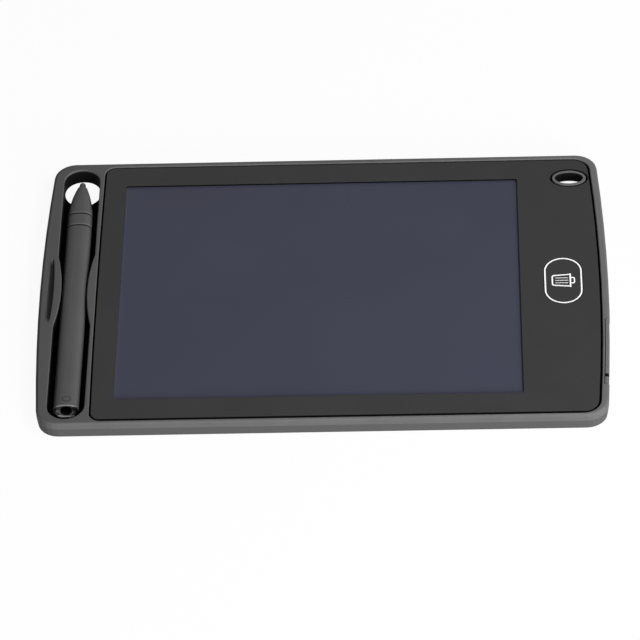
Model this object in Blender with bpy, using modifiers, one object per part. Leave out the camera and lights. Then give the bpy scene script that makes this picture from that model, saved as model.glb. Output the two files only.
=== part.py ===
"""Pocket LCD writing tablet with a stored stylus, an erase key and a coin cell drawer.

Metres, +Z up. The tablet lies on its back at z = 0, its long axis is X, and the
stylus slot is at -X. The origin is the middle of the resting face.
"""

import bpy
import bmesh
from math import acos, atan2, cos, hypot, pi, sin, sqrt

# Body
body_length = 0.1292
body_width = 0.0860
end_bow = 0.0016
corner_radius = 0.0050
top_edge_round = 0.0005
draft_height = 0.0026
draft_inset = 0.00025
bottom_edge_round = 0.00015
floor_thickness = 0.0008

# Pocket of the front panel
slot_side_border = 0.0128
far_rim = 0.00135
near_rim = 0.0008
end_rim = 0.00165
pocket_left_bow = 0.0003
pocket_left_radius = 0.0026
pocket_right_radius = 0.0040
ledge_width = 0.0012
edge_break = 0.00015

# Front panel
panel_gap = 0.00045
panel_sink = 0.0001
panel_thickness = 0.0008
tape_thickness = 0.00014
tape_width = 0.0007
tape_gap = 0.00003

# Screen, with the borders of its window measured from the pocket and the drawer
window_left_border = 0.00546
window_drawer_inset = 0.0008
window_side_border = 0.0066
window_radius = 0.0005
film_recess = 0.0005
film_thickness = 0.0003
film_margin = 0.0025
film_side_gap = 0.0002
film_gap = 0.00005
backing_thickness = 0.0005
stack_gap = 0.00005
stack_side_gap = 0.0005
stack_window_inset = 0.00065

# Stylus slot
slot_center_inset = 0.0078
slot_width = 0.0084
slot_near_rim = 0.0016
slot_far_rim = 0.0021
slot_floor = 0.0005
cheek_gap = 0.0059
cheek_length = 0.0234
tip_hole_diameter = 0.0075
hole_flare = 0.00095
relief_offset = 0.0054
relief_length = 0.0212
relief_width = 0.0016
relief_depth = 0.0008

# Stylus
stylus_width = 0.0057
stylus_height = 0.0040
stylus_squareness = 2.5
stylus_tip_gap = 0.0029
stylus_end_gap = 0.0040
stylus_rest_gap = 0.0001
nib_diameter = 0.00145
nib_reach = 0.0021
nib_shaft_diameter = 0.0010
nib_shaft_length = 0.0080
nib_gap = 0.00015
cone_front_diameter = 0.00235
cone_length = 0.0101
cone_fullness = 1.9
seam_gap = 0.0002
collar_length = 0.0038
barrel_wall = 0.0004
barrel_end_round = 0.0002
spigot_diameter = 0.0043
spigot_length = 0.0080
plug_diameter = 0.0046
plug_hole_diameter = 0.0025
plug_length = 0.0030
plug_recess = 0.00045

# Lanyard hole
lanyard_side_inset = 0.0062
lanyard_far_inset = 0.0067
lanyard_hole_length = 0.0062
lanyard_hole_width = 0.0035
lanyard_boss_wall = 0.0008
lanyard_boss_sink = 0.00005
lanyard_panel_gap = 0.0004
lanyard_flare = 0.0020

# Erase key
key_shift = 0.0002
key_bay_gap = 0.00453
key_width = 0.00864
key_length = 0.01504
key_gap = 0.00015
key_flange_width = 0.0005
key_flange_thickness = 0.0005
key_stop_gap = 0.0001
key_travel = 0.0003
switch_width = 0.0042
switch_depth = 0.0032
stem_diameter = 0.0016
stem_gap = 0.00015

# Circuit board
board_drawer_inset = 0.00155
board_side_gap = 0.0027
board_flare_gap = 0.00045
board_bay_gap = 0.0014
board_thickness = 0.0008
post_diameter = 0.0014
post_gap = 0.0002
post_height = 0.0015
post_inset = 0.0018

# Parts on the board, placed from its far right-hand corner
chip_width = 0.0040
chip_depth = 0.0050
chip_height = 0.0010
chip_side_inset = 0.0042
chip_far_inset = 0.0083
inductor_size = 0.0030
inductor_height = 0.0012
inductor_side_inset = 0.0042
inductor_far_inset = 0.0026
storage_capacitor_width = 0.0020
storage_capacitor_depth = 0.0013
storage_capacitor_height = 0.0010
storage_capacitor_side_inset = 0.0082
storage_capacitor_far_inset = 0.0052
bypass_capacitor_width = 0.0016
bypass_capacitor_depth = 0.0008
bypass_capacitor_height = 0.0008
bypass_capacitor_side_inset = 0.0017
bypass_capacitor_far_inset = 0.0128
resistor_width = 0.0016
resistor_depth = 0.0008
resistor_height = 0.0005
resistor_side_inset = 0.0044
resistor_far_inset = 0.0118
diode_width = 0.0027
diode_depth = 0.0013
diode_height = 0.0010
diode_side_inset = 0.0018
diode_far_inset = 0.0155

# Tail of the screen
tail_width = 0.0080
tail_far_inset = 0.0128
tail_thickness = 0.00012
tail_overlap = 0.00205
tail_bend_inset = 0.0011
tail_foot_length = 0.0024
clamp_width = 0.0090
clamp_depth = 0.0012
clamp_height = 0.0007

# Coin cell and its contacts
cell_diameter = 0.0160
cell_height = 0.0016
cell_headroom = 0.0005
cell_cap_inset = 0.0010
cell_cap_step = 0.0002
cell_gap = 0.0001
cell_side_gap = 0.00015
contact_thickness = 0.00012
contact_width = 0.0024
contact_lift = 0.00008
contact_foot = 0.0022
contact_rise_gap = 0.0004
minus_contact_shift = 0.0021
plus_contact_height = 0.0008
plus_contact_gap = 0.0003
plus_contact_reach = 0.0018
plus_bump_length = 0.0030

# Drawer of the coin cell
bay_near_rim = 0.0096
bay_end_gap = 0.0002
bay_clearance = 0.0001
head_depth = 0.0010
head_inset = 0.0001
head_gap = 0.00015
drawer_floor = 0.0004
drawer_side_wall = 0.0007
drawer_end_wall = 0.00042
drawer_back_wall = 0.0006
drawer_back_notch = 0.0050
drawer_wall_height = 0.0019
rib_width = 0.0008
rib_gap = 0.0002
rib_end_gap = 0.0006
latch_notch = 0.0008
latch_width = 0.0022
latch_arm_thickness = 0.0007
latch_arm_length = 0.0098
latch_root_diameter = 0.0011
latch_root_gap = 0.00015
latch_lug_width = 0.0016
latch_socket_lip = 0.0004
latch_mouth_gap = 0.00012
latch_groove_width = 0.00022
latch_groove_depth = 0.00020
latch_groove_count = 3

# Drawing
overrun = 0.0010
sunk = 0.0003
merge_distance = 0.000001
corner_steps = 6
bow_steps = 8
end_steps = 14
turn_steps = 32
edge_round_steps = 3
relief_steps = 16
nib_steps = 4
cone_steps = 8
sharp_angle = pi / 6


def edge_x(y, inset):
    """Where the bowed right-hand end lies at a given y, drawn in by the inset."""
    half = body_width / 2 - inset
    sweep = (end_bow * end_bow + half * half) / (2 * end_bow)
    return body_length / 2 - inset - sweep + sqrt(sweep * sweep - y * y)


# Heights that follow from the sizes, from the floor up
board_bottom = floor_thickness + stack_gap
board_top = board_bottom + board_thickness
seat_height = board_top + stack_gap
drawer_bottom = floor_thickness + bay_clearance
cell_bottom = drawer_bottom + drawer_floor + cell_gap
cell_top = cell_bottom + cell_height
bay_top = cell_top + bay_clearance
contact_level = cell_top + contact_lift
panel_bottom = cell_top + cell_headroom
panel_top = panel_bottom + panel_thickness
body_thickness = panel_top + panel_sink
ledge_top = panel_bottom - tape_thickness - 2 * tape_gap
film_top = panel_top - film_recess
film_bottom = film_top - film_thickness
backing_top = panel_bottom - stack_gap
backing_bottom = backing_top - backing_thickness
stylus_axis_height = slot_floor + stylus_rest_gap + stylus_height / 2

# Places that follow from the sizes
pocket_left = slot_side_border - body_length / 2
pocket_right = body_length / 2 - end_rim
pocket_far = body_width / 2 - far_rim
pocket_near = near_rim - body_width / 2
window_left = pocket_left + window_left_border
window_near = pocket_near + window_side_border
window_far = pocket_far - window_side_border
film_left = window_left - film_margin
film_near = window_near - film_margin
film_far = window_far + film_margin
slot_center_x = slot_center_inset - body_length / 2
slot_near_end = slot_near_rim - body_width / 2
slot_far_end = body_width / 2 - slot_far_rim
stylus_tip_y = slot_far_end - stylus_tip_gap
barrel_end_y = slot_near_end + stylus_end_gap
nib_bore_radius = nib_shaft_diameter / 2 + nib_gap
lanyard_center_x = pocket_right - lanyard_side_inset
lanyard_center_y = pocket_far - lanyard_far_inset
flare_wall_reach = lanyard_hole_width / 2 + lanyard_flare + floor_thickness
bezel_length = cell_diameter + 2 * cell_side_gap + 2 * drawer_side_wall
latch_near_end = bay_near_rim + bay_end_gap - body_width / 2
latch_far_end = latch_near_end + latch_width
bezel_near_end = latch_far_end + latch_notch
bezel_far_end = bezel_near_end + bezel_length
bay_near_end = latch_near_end - bay_end_gap
bay_far_end = bezel_far_end + bay_end_gap
pocket_radius = cell_diameter / 2 + cell_side_gap
cell_center_x = edge_x(bezel_near_end, head_depth) - drawer_end_wall - pocket_radius
cell_center_y = (bezel_far_end + bezel_near_end) / 2
drawer_left = cell_center_x - pocket_radius - drawer_back_wall
window_right = drawer_left - window_drawer_inset
film_right = window_right + film_margin
stack_right_end = window_right - stack_window_inset
key_center_x = cell_center_x + key_shift
key_center_y = bay_far_end + key_bay_gap + key_flange_width + key_length / 2
board_right = pocket_right - board_side_gap
board_left = drawer_left + board_drawer_inset
board_far_end = lanyard_center_y - flare_wall_reach - board_flare_gap
board_near_end = bay_far_end + board_bay_gap
tail_center_y = board_far_end - tail_far_inset
tail_start_x = film_right - tail_overlap
tail_bend_x = board_left + tail_bend_inset
latch_pivot_x = body_length / 2 - end_bow - head_depth - latch_arm_length
latch_pivot_y = (latch_far_end + latch_near_end) / 2


def clear_scene():
    for obj in list(bpy.data.objects):
        bpy.data.objects.remove(obj, do_unlink=True)


def make_collection(name):
    collection = bpy.data.collections.new(name)
    bpy.context.scene.collection.children.link(collection)
    return collection


def make_material(name, color, roughness, metallic=0.0):
    material = bpy.data.materials.new(name)
    material.use_nodes = True
    shader = material.node_tree.nodes["Principled BSDF"]
    shader.inputs["Base Color"].default_value = (*color, 1.0)
    shader.inputs["Roughness"].default_value = roughness
    shader.inputs["Metallic"].default_value = metallic
    material.diffuse_color = (*color, 1.0)
    return material


# Outlines, as lists of (x, y) running anticlockwise

def arc(center, radius, start, end, steps):
    angles = [start + (end - start) * i / steps for i in range(steps + 1)]
    return [(center[0] + radius * cos(a), center[1] + radius * sin(a)) for a in angles]


def bowed_end(tip, half_height, bow, radius, center_y):
    """The right-hand end of a plate: a shallow bow with a round corner at each side."""
    sweep = (bow * bow + half_height * half_height) / (2 * bow)
    sweep_center = (tip - sweep, center_y)
    rise = half_height - radius
    corner_x = sweep_center[0] + sqrt((sweep - radius) ** 2 - rise * rise)
    turn = atan2(rise, corner_x - sweep_center[0])
    near = arc((corner_x, center_y - rise), radius, -pi / 2, -turn, corner_steps)
    bowed = arc(sweep_center, sweep, -turn, turn, bow_steps)
    far = arc((corner_x, center_y + rise), radius, turn, pi / 2, corner_steps)
    return near + bowed[1:-1] + far


def bowed_outline(left, right, near, far, left_bow, right_bow, left_radius, right_radius, inset=0):
    """A plate with straight long edges and bowed short ends, drawn in by the inset."""
    center_y = (near + far) / 2
    half = (far - near) / 2 - inset
    right_end = bowed_end(right - inset, half, right_bow, right_radius - inset, center_y)
    left_end = bowed_end(-left - inset, half, left_bow, left_radius - inset, center_y)
    turned = [(-x, 2 * center_y - y) for x, y in left_end]
    return right_end + turned


def body_outline(inset=0):
    half_x = body_length / 2
    half_y = body_width / 2
    ends = (end_bow, end_bow, corner_radius, corner_radius)
    return bowed_outline(-half_x, half_x, -half_y, half_y, *ends, inset)


def pocket_outline(inset=0):
    sides = (pocket_left, pocket_right, pocket_near, pocket_far)
    ends = (pocket_left_bow, end_bow, pocket_left_radius, pocket_right_radius)
    return bowed_outline(*sides, *ends, inset)


def stadium(center, width, length):
    """An outline with straight sides along Y and a round end at each side."""
    radius = width / 2
    reach = length / 2 - radius
    far = arc((0, reach), radius, 0, pi, end_steps)
    points = far + [(-x, -y) for x, y in far]
    return [(center[0] + x, center[1] + y) for x, y in points]


def rounded_box(left, right, near, far, radius):
    corners = ((right, far, 0), (left, far, 1), (left, near, 2), (right, near, 3))
    points = []
    for x, y, quarter in corners:
        inward_x = -radius if x == right else radius
        inward_y = -radius if y == far else radius
        start = quarter * pi / 2
        center = (x + inward_x, y + inward_y)
        points += arc(center, radius, start, start + pi / 2, corner_steps)
    return points


def rectangle(left, right, near, far):
    return [(left, near), (right, near), (right, far), (left, far)]


def cheek(side, growth):
    """One side of the slot, where a long cheek bulges towards the stylus at its middle."""
    reach = (slot_width - cheek_gap) / 2
    half = cheek_length / 2
    sweep = (half * half + reach * reach) / (2 * reach)
    middle_x = slot_width / 2 - reach + sweep
    radius = sweep - growth
    swing = acos((sweep - reach - growth) / radius)
    curve = arc((middle_x, 0), radius, pi + swing, pi - swing, bow_steps)
    return [(side * x, y) for x, y in curve]


def slot_outline(growth):
    """The stylus slot: round ends, and a cheek on each long side."""
    radius = slot_width / 2
    grown = radius + growth
    far = arc((0, slot_far_end - radius), grown, 0, pi, end_steps)
    near = arc((0, slot_near_end + radius), grown, pi, 2 * pi, end_steps)
    points = cheek(1, growth) + far + cheek(-1, growth)[::-1] + near
    return [(slot_center_x + x, y) for x, y in points]


# Solids

def link(name, mesh, collection, material=None):
    obj = bpy.data.objects.new(name, mesh)
    collection.objects.link(obj)
    if material:
        mesh.materials.append(material)
    return obj


def hide(obj):
    obj.hide_render = True
    obj.display_type = "WIRE"
    return obj


def plate(name, outlines, bottom, top, collection, material=None):
    """Extrudes a filled 2D curve between two heights. Outlines inside the first are holes."""
    curve = bpy.data.curves.new(name, "CURVE")
    curve.dimensions = "2D"
    curve.fill_mode = "BOTH"
    curve.extrude = (top - bottom) / 2
    for outline in outlines:
        spline = curve.splines.new("POLY")
        spline.points.add(len(outline) - 1)
        for point, (x, y) in zip(spline.points, outline):
            point.co = (x, y, 0, 1)
        spline.use_cyclic_u = True
    drawn = bpy.data.objects.new(name + "_curve", curve)
    collection.objects.link(drawn)
    drawn.location.z = (top + bottom) / 2
    bpy.context.view_layer.update()
    evaluated = drawn.evaluated_get(bpy.context.evaluated_depsgraph_get())
    mesh = bpy.data.meshes.new_from_object(evaluated)
    mesh.transform(drawn.matrix_world)
    bpy.data.objects.remove(drawn)
    work = bmesh.new()
    work.from_mesh(mesh)
    bmesh.ops.remove_doubles(work, verts=work.verts, dist=merge_distance)
    bmesh.ops.recalc_face_normals(work, faces=work.faces)
    work.to_mesh(mesh)
    work.free()
    mesh.name = name
    mesh.materials.clear()
    return link(name, mesh, collection, material)


def box(name, center, size, bottom, top, collection, material=None):
    outline = rectangle(
        center[0] - size[0] / 2,
        center[0] + size[0] / 2,
        center[1] - size[1] / 2,
        center[1] + size[1] / 2,
    )
    return plate(name, [outline], bottom, top, collection, material)


def side_plate(name, outline, low, high, collection, material=None):
    """A plate drawn in X and Z and extruded along Y from low to high."""
    obj = plate(name, [outline], -high, -low, collection, material)
    turn_upright(obj.data)
    return obj


def turn_upright(mesh):
    """Turns the drawn Y into Z and the extrusion into -Y."""
    for vertex in mesh.vertices:
        x, y, z = vertex.co
        vertex.co = (x, -z, y)


def turned(name, profile, collection, material=None, closed=False):
    """Turns a profile of (radius, height) points, outer side downwards, round Z."""
    count = len(profile)
    edges = [(i, i + 1) for i in range(count - 1)]
    if closed:
        edges.append((count - 1, 0))
    mesh = bpy.data.meshes.new(name)
    mesh.from_pydata([(radius, 0, height) for radius, height in profile], edges, [])
    obj = link(name, mesh, collection, material)
    screw = obj.modifiers.new("Turn", "SCREW")
    screw.steps = turn_steps
    screw.render_steps = turn_steps
    screw.use_merge_vertices = True
    screw.merge_threshold = merge_distance
    screw.use_smooth_shade = True
    return obj


def cylinder(name, center, diameter, bottom, top, collection, top_diameter=None):
    mesh = bpy.data.meshes.new(name)
    work = bmesh.new()
    end_diameter = diameter if top_diameter is None else top_diameter
    bmesh.ops.create_cone(
        work,
        cap_ends=True,
        segments=turn_steps,
        radius1=diameter / 2,
        radius2=end_diameter / 2,
        depth=top - bottom,
    )
    bmesh.ops.translate(work, verts=work.verts, vec=(center[0], center[1], (top + bottom) / 2))
    work.to_mesh(mesh)
    work.free()
    return link(name, mesh, collection)


def boolean(obj, other, operation):
    modifier = obj.modifiers.new(other.name, "BOOLEAN")
    modifier.operation = operation
    modifier.solver = "EXACT"
    modifier.object = other
    hide(other)


def cut(obj, cutter):
    boolean(obj, cutter, "DIFFERENCE")


def add(obj, other):
    boolean(obj, other, "UNION")


def keep(obj, other):
    boolean(obj, other, "INTERSECT")


def smooth(obj):
    obj.data.shade_smooth()
    obj.data.set_sharp_from_angle(angle=sharp_angle)


def raise_cap(work, height, steps):
    """Insets the flat cap at a height and lifts it, once for each (inset, lift) pair."""
    cap = [f for f in work.faces if all(abs(v.co.z - height) < merge_distance for v in f.verts)]
    for inset, lift in steps:
        bmesh.ops.inset_region(
            work, faces=cap, thickness=inset, depth=lift, use_even_offset=True, use_boundary=True
        )


def round_steps(radius):
    """Inset and lift pairs that follow a quarter round."""
    angles = [pi / 2 * i / edge_round_steps for i in range(edge_round_steps + 1)]
    pairs = zip(angles, angles[1:])
    return [(radius * (cos(a) - cos(b)), radius * (sin(b) - sin(a))) for a, b in pairs]


def body_block(name, collection, material=None, inset=0):
    """The outer form of the body: a rounded top edge, an upright band and a drafted foot."""
    shoulder = body_thickness - top_edge_round
    obj = plate(name, [body_outline(inset)], draft_height, shoulder, collection, material)
    work = bmesh.new()
    work.from_mesh(obj.data)
    raise_cap(work, shoulder, round_steps(top_edge_round))
    foot = (draft_inset, draft_height - bottom_edge_round)
    raise_cap(work, draft_height, [foot, (bottom_edge_round, bottom_edge_round)])
    bmesh.ops.recalc_face_normals(work, faces=work.faces)
    work.to_mesh(obj.data)
    work.free()
    return obj


# Shell

def eased_cutter(name, outline, top, depth, cutters):
    """A cutter whose mouth flares by the edge break. The outline is that of the flared mouth."""
    cutter = plate(name, [outline], top, top + overrun, cutters)
    work = bmesh.new()
    work.from_mesh(cutter.data)
    raise_cap(work, top, [(edge_break, edge_break), (0, depth - edge_break)])
    bmesh.ops.recalc_face_normals(work, faces=work.faces)
    work.to_mesh(cutter.data)
    work.free()
    return cutter


def cut_stylus_slot(shell, cutters):
    depth = body_thickness - slot_floor
    mouth = slot_outline(edge_break)
    cut(shell, eased_cutter("slot_cut", mouth, body_thickness, depth, cutters))
    center = (slot_center_x, slot_far_end - slot_width / 2)
    cut(shell, cylinder("tip_hole_cut", center, tip_hole_diameter, -overrun, body_thickness, cutters))
    wide = tip_hole_diameter + 2 * (hole_flare + overrun)
    flare = cylinder(
        "tip_flare_cut", center, wide, -overrun, hole_flare, cutters, tip_hole_diameter
    )
    cut(shell, flare)


def cut_flex_relief(shell, cutters):
    """The shallow spindle-shaped groove behind the outer cheek."""
    mesh = bpy.data.meshes.new("relief_cut")
    work = bmesh.new()
    bmesh.ops.create_uvsphere(work, u_segments=relief_steps, v_segments=relief_steps, radius=1)
    size = (relief_width / 2, relief_depth, relief_length / 2)
    bmesh.ops.scale(work, vec=size, verts=work.verts)
    work.to_mesh(mesh)
    work.free()
    relief = link("relief_cut", mesh, cutters)
    relief.rotation_euler.x = pi / 2
    relief.location = (slot_center_x - relief_offset, 0, body_thickness)
    cut(shell, relief)


def lanyard_outline(growth):
    half_length = lanyard_hole_length / 2 + growth
    half_width = lanyard_hole_width / 2 + growth
    circle = arc((0, 0), 1, 0, 2 * pi, turn_steps)[:-1]
    return [(lanyard_center_x + half_length * x, lanyard_center_y + half_width * y) for x, y in circle]


def add_lanyard_boss(shell, cutters):
    boss_top = body_thickness - lanyard_boss_sink
    outline = lanyard_outline(lanyard_boss_wall)
    add(shell, plate("lanyard_boss", [outline], floor_thickness - sunk, boss_top, cutters))


def cut_lanyard_hole(shell, cutters):
    """The through hole and its flare underneath, cut after the wall round them is in."""
    add_flare_wall(shell, cutters)
    top = body_thickness - lanyard_boss_sink
    mouth = lanyard_outline(edge_break)
    cut(shell, eased_cutter("lanyard_cut", mouth, top, top + overrun, cutters))
    flare = plate("lanyard_flare_cut", [lanyard_outline(lanyard_flare)], -overrun, 0, cutters)
    work = bmesh.new()
    work.from_mesh(flare.data)
    raise_cap(work, 0, [(lanyard_flare + sunk, lanyard_flare + sunk)])
    work.to_mesh(flare.data)
    work.free()
    cut(shell, flare)


def add_flare_wall(shell, cutters):
    """The dished wall inside the case that keeps the flared hole closed."""
    wall = floor_thickness
    reach = lanyard_flare + wall
    pad = plate("flare_wall", [lanyard_outline(reach)], wall - sunk, wall, cutters)
    work = bmesh.new()
    work.from_mesh(pad.data)
    raise_cap(work, wall, [(lanyard_flare + sunk, lanyard_flare + sunk)])
    work.to_mesh(pad.data)
    work.free()
    add(shell, pad)


def add_board_posts(shell, cutters):
    top = floor_thickness + post_height
    for index, center in enumerate(post_centers()):
        name = f"board_post_{index + 1}"
        add(shell, cylinder(name, center, post_diameter, floor_thickness - sunk, top, cutters))


def post_centers():
    return (
        (board_left + post_inset, board_far_end - post_inset),
        (board_right - post_inset, board_near_end + post_inset),
    )


def add_drawer_ribs(shell, cutters):
    """Two low walls on the floor that guide the drawer."""
    left = drawer_left
    right = pocket_right - ledge_width
    top = contact_level - contact_rise_gap / 2
    places = (bay_far_end + rib_gap, bay_near_end - rib_gap - rib_width)
    for index, near in enumerate(places):
        outline = rectangle(left, right - end_bow - rib_end_gap, near, near + rib_width)
        name = f"drawer_rib_{index + 1}"
        add(shell, plate(name, [outline], floor_thickness - sunk, top, cutters))


def end_strip(near, far, inset):
    """The bowed right-hand end between two places along Y, drawn in by the inset."""
    places = [near + (far - near) * i / bow_steps for i in range(bow_steps + 1)]
    return [(edge_x(y, inset), y) for y in places]


def head_zone(near, far, depth):
    """The band of the right-hand end that the drawer's face takes up, from above."""
    outside = body_length / 2 + overrun
    return [(outside, near), (outside, far)] + end_strip(near, far, depth)[::-1]


def cut_drawer_bay(shell, cutters):
    inner = pocket_right - ledge_width - end_bow - rib_end_gap
    passage = rectangle(inner, body_length / 2 + overrun, bay_near_end, bay_far_end)
    cut(shell, plate("bay_cut", [passage], floor_thickness, bay_top, cutters))
    zone = head_zone(bay_near_end, bay_far_end, head_depth + head_gap)
    cut(shell, plate("head_cut", [zone], -overrun, body_thickness + overrun, cutters))


def make_rear_shell(parts, cutters, material):
    shell = body_block("rear_shell", parts, material)
    mouth = pocket_outline(-edge_break)
    depth = body_thickness - ledge_top
    cut(shell, eased_cutter("pocket_cut", mouth, body_thickness, depth, cutters))
    cavity_outline = pocket_outline(ledge_width)
    cut(shell, plate("cavity_cut", [cavity_outline], floor_thickness, ledge_top + sunk, cutters))
    add_lanyard_boss(shell, cutters)
    add_board_posts(shell, cutters)
    add_drawer_ribs(shell, cutters)
    cut_lanyard_hole(shell, cutters)
    cut_stylus_slot(shell, cutters)
    cut_flex_relief(shell, cutters)
    cut_drawer_bay(shell, cutters)
    smooth(shell)


# Front panel and screen

def window_outline():
    return rounded_box(window_left, window_right, window_near, window_far, window_radius)


def make_front_cover(parts, cutters, material):
    holes = [
        window_outline(),
        lanyard_outline(lanyard_boss_wall + lanyard_panel_gap),
        key_outline(key_gap),
    ]
    outlines = [pocket_outline(panel_gap)] + holes
    cover = plate("front_cover", outlines, panel_bottom, panel_top, parts, material)
    rebate = rectangle(
        film_left - film_side_gap,
        film_right + film_side_gap,
        film_near - film_side_gap,
        film_far + film_side_gap,
    )
    cut(cover, plate("rebate_cut", [rebate], panel_bottom - overrun, film_top + film_gap, cutters))
    smooth(cover)


def make_tape(parts, cutters, material):
    outlines = [pocket_outline(ledge_width - tape_width), pocket_outline(ledge_width)]
    bottom = ledge_top + tape_gap
    tape = plate("cover_adhesive", outlines, bottom, bottom + tape_thickness, parts, material)
    boss = [lanyard_outline(lanyard_boss_wall + lanyard_panel_gap)]
    cut(tape, plate("tape_notch_cut", boss, ledge_top, panel_bottom, cutters))


def make_screen(parts, film_material, backing_material, foam_material):
    film = rectangle(film_left, film_right, film_near, film_far)
    plate("lcd_film", [film], film_bottom, film_top, parts, film_material)
    left = pocket_left + ledge_width + stack_side_gap
    near = pocket_near + ledge_width + stack_side_gap
    far = pocket_far - ledge_width - stack_side_gap
    stack = rounded_box(left, stack_right_end, near, far, pocket_left_radius - ledge_width)
    plate("lcd_backing", [stack], backing_bottom, backing_top, parts, backing_material)
    foam_top = backing_bottom - stack_gap
    foam_bottom = floor_thickness + stack_gap
    plate("foam_pad", [stack], foam_bottom, foam_top, parts, foam_material)


# Strips bent from thin sheet

def strip_outline(path, thickness):
    """Both sides of a thin bent strip, from the points of its middle line."""
    left, right = [], []
    for index, (x, y) in enumerate(path):
        before = path[max(index - 1, 0)]
        after = path[min(index + 1, len(path) - 1)]
        unit_in = direction(before, (x, y)) or direction((x, y), after)
        unit_out = direction((x, y), after) or unit_in
        mitre_x = -(unit_in[1] + unit_out[1])
        mitre_y = unit_in[0] + unit_out[0]
        scale = thickness / (mitre_x * -unit_in[1] + mitre_y * unit_in[0]) / 2
        left.append((x + mitre_x * scale, y + mitre_y * scale))
        right.append((x - mitre_x * scale, y - mitre_y * scale))
    return right + left[::-1]


def direction(start, end):
    length = hypot(end[0] - start[0], end[1] - start[1])
    if not length:
        return None
    return ((end[0] - start[0]) / length, (end[1] - start[1]) / length)


def make_tail(parts, tail_material, clamp_material):
    """The flexible tail from under the film's edge down to the board, and its clamp."""
    upper = film_bottom - 2 * stack_gap - tail_thickness / 2
    upper = min(upper, panel_bottom - stack_gap - tail_thickness / 2)
    lower = seat_height + tail_thickness / 2
    foot_end = tail_bend_x + tail_foot_length
    path = [(tail_start_x, upper), (tail_bend_x, upper), (tail_bend_x, lower), (foot_end, lower)]
    outline = strip_outline(path, tail_thickness)
    low = tail_center_y - tail_width / 2
    side_plate("lcd_tail", outline, low, low + tail_width, parts, tail_material)
    clamp_x = foot_end - clamp_depth / 2
    clamp_bottom = seat_height + tail_thickness + stack_gap
    size = (clamp_depth, clamp_width)
    center = (clamp_x, tail_center_y)
    clamp_top = clamp_bottom + clamp_height
    box("tail_clamp", center, size, clamp_bottom, clamp_top, parts, clamp_material)


def make_contacts(parts, material):
    make_minus_contact(parts, material)
    make_plus_contact(parts, material)


def make_minus_contact(parts, material):
    """A bent spring from the board over the guide rib to the middle of the cell."""
    lower = seat_height + contact_thickness / 2
    upper = contact_level + contact_thickness / 2
    bend = board_near_end + contact_rise_gap
    path = [(bend + contact_foot, lower), (bend, lower), (bend, upper), (cell_center_y, upper)]
    outline = strip_outline(path, contact_thickness)
    low = cell_center_x - minus_contact_shift - contact_width / 2
    strip = plate("contact_minus", [outline], low, low + contact_width, parts, material)
    for vertex in strip.data.vertices:
        y, z, x = vertex.co
        vertex.co = (x, y, z)


def make_plus_contact(parts, material):
    """A blade on edge behind the drawer, with a bump that meets the side of the cell."""
    blade_x = drawer_left - plus_contact_gap - contact_thickness / 2
    bump_x = cell_center_x - cell_diameter / 2 - plus_contact_gap
    half = plus_bump_length / 2
    foot_y = board_near_end + contact_rise_gap + contact_thickness / 2
    path = [
        (board_left + plus_contact_reach, foot_y),
        (blade_x, foot_y),
        (blade_x, cell_center_y + half),
        (bump_x - contact_thickness / 2, cell_center_y),
        (blade_x, cell_center_y - half),
        (blade_x, cell_center_y - plus_bump_length),
    ]
    outline = strip_outline(path, contact_thickness)
    top = seat_height + plus_contact_height
    plate("contact_plus", [outline], seat_height, top, parts, material)


# Circuit board

def make_board(parts, material):
    outline = rounded_box(board_left, board_right, board_near_end, board_far_end, post_inset / 2)
    holes = [
        arc(center, post_diameter / 2 + post_gap, 0, 2 * pi, end_steps)[:-1]
        for center in post_centers()
    ]
    outlines = [outline] + holes
    plate("circuit_board", outlines, board_bottom, board_top, parts, material)


def make_board_part(name, side_inset, far_inset, width, depth, height, parts, material):
    center = (board_right - side_inset, board_far_end - far_inset)
    box(name, center, (width, depth), seat_height, seat_height + height, parts, material)


def make_board_parts(parts, dark, ferrite, ceramic):
    make_board_part(
        "driver_chip",
        chip_side_inset,
        chip_far_inset,
        chip_width,
        chip_depth,
        chip_height,
        parts,
        dark,
    )
    make_board_part(
        "boost_inductor",
        inductor_side_inset,
        inductor_far_inset,
        inductor_size,
        inductor_size,
        inductor_height,
        parts,
        ferrite,
    )
    make_board_part(
        "storage_capacitor",
        storage_capacitor_side_inset,
        storage_capacitor_far_inset,
        storage_capacitor_width,
        storage_capacitor_depth,
        storage_capacitor_height,
        parts,
        ceramic,
    )
    make_board_part(
        "bypass_capacitor",
        bypass_capacitor_side_inset,
        bypass_capacitor_far_inset,
        bypass_capacitor_width,
        bypass_capacitor_depth,
        bypass_capacitor_height,
        parts,
        ceramic,
    )
    make_board_part(
        "pulldown_resistor",
        resistor_side_inset,
        resistor_far_inset,
        resistor_width,
        resistor_depth,
        resistor_height,
        parts,
        dark,
    )
    make_board_part(
        "rectifier_diode",
        diode_side_inset,
        diode_far_inset,
        diode_width,
        diode_depth,
        diode_height,
        parts,
        dark,
    )


# Erase key

def key_outline(growth):
    center = (key_center_x, key_center_y)
    return stadium(center, key_width + 2 * growth, key_length + 2 * growth)


def make_erase_key(parts, cutters, key_material, switch_material):
    flange_top = panel_bottom - key_stop_gap
    flange_bottom = flange_top - key_flange_thickness
    key = plate("erase_key", [key_outline(0)], flange_bottom, panel_top, parts, key_material)
    flange_outline = key_outline(key_flange_width)
    add(key, plate("key_flange", [flange_outline], flange_bottom, flange_top, cutters))
    smooth(key)
    center = (key_center_x, key_center_y)
    stem_bottom = seat_height + key_travel + stack_gap
    stem_top = flange_bottom - stack_gap
    stem = cylinder("switch_stem", center, stem_diameter, stem_bottom, stem_top, parts)
    stem.data.materials.append(key_material)
    smooth(stem)
    size = (switch_width, switch_depth)
    top = flange_bottom - key_travel - key_stop_gap
    body = box("switch_body", center, size, seat_height, top, parts, switch_material)
    bore = stem_diameter + 2 * stem_gap
    cut(body, cylinder("stem_bore_cut", center, bore, board_top, top + overrun, cutters))


# Coin cell drawer

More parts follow.
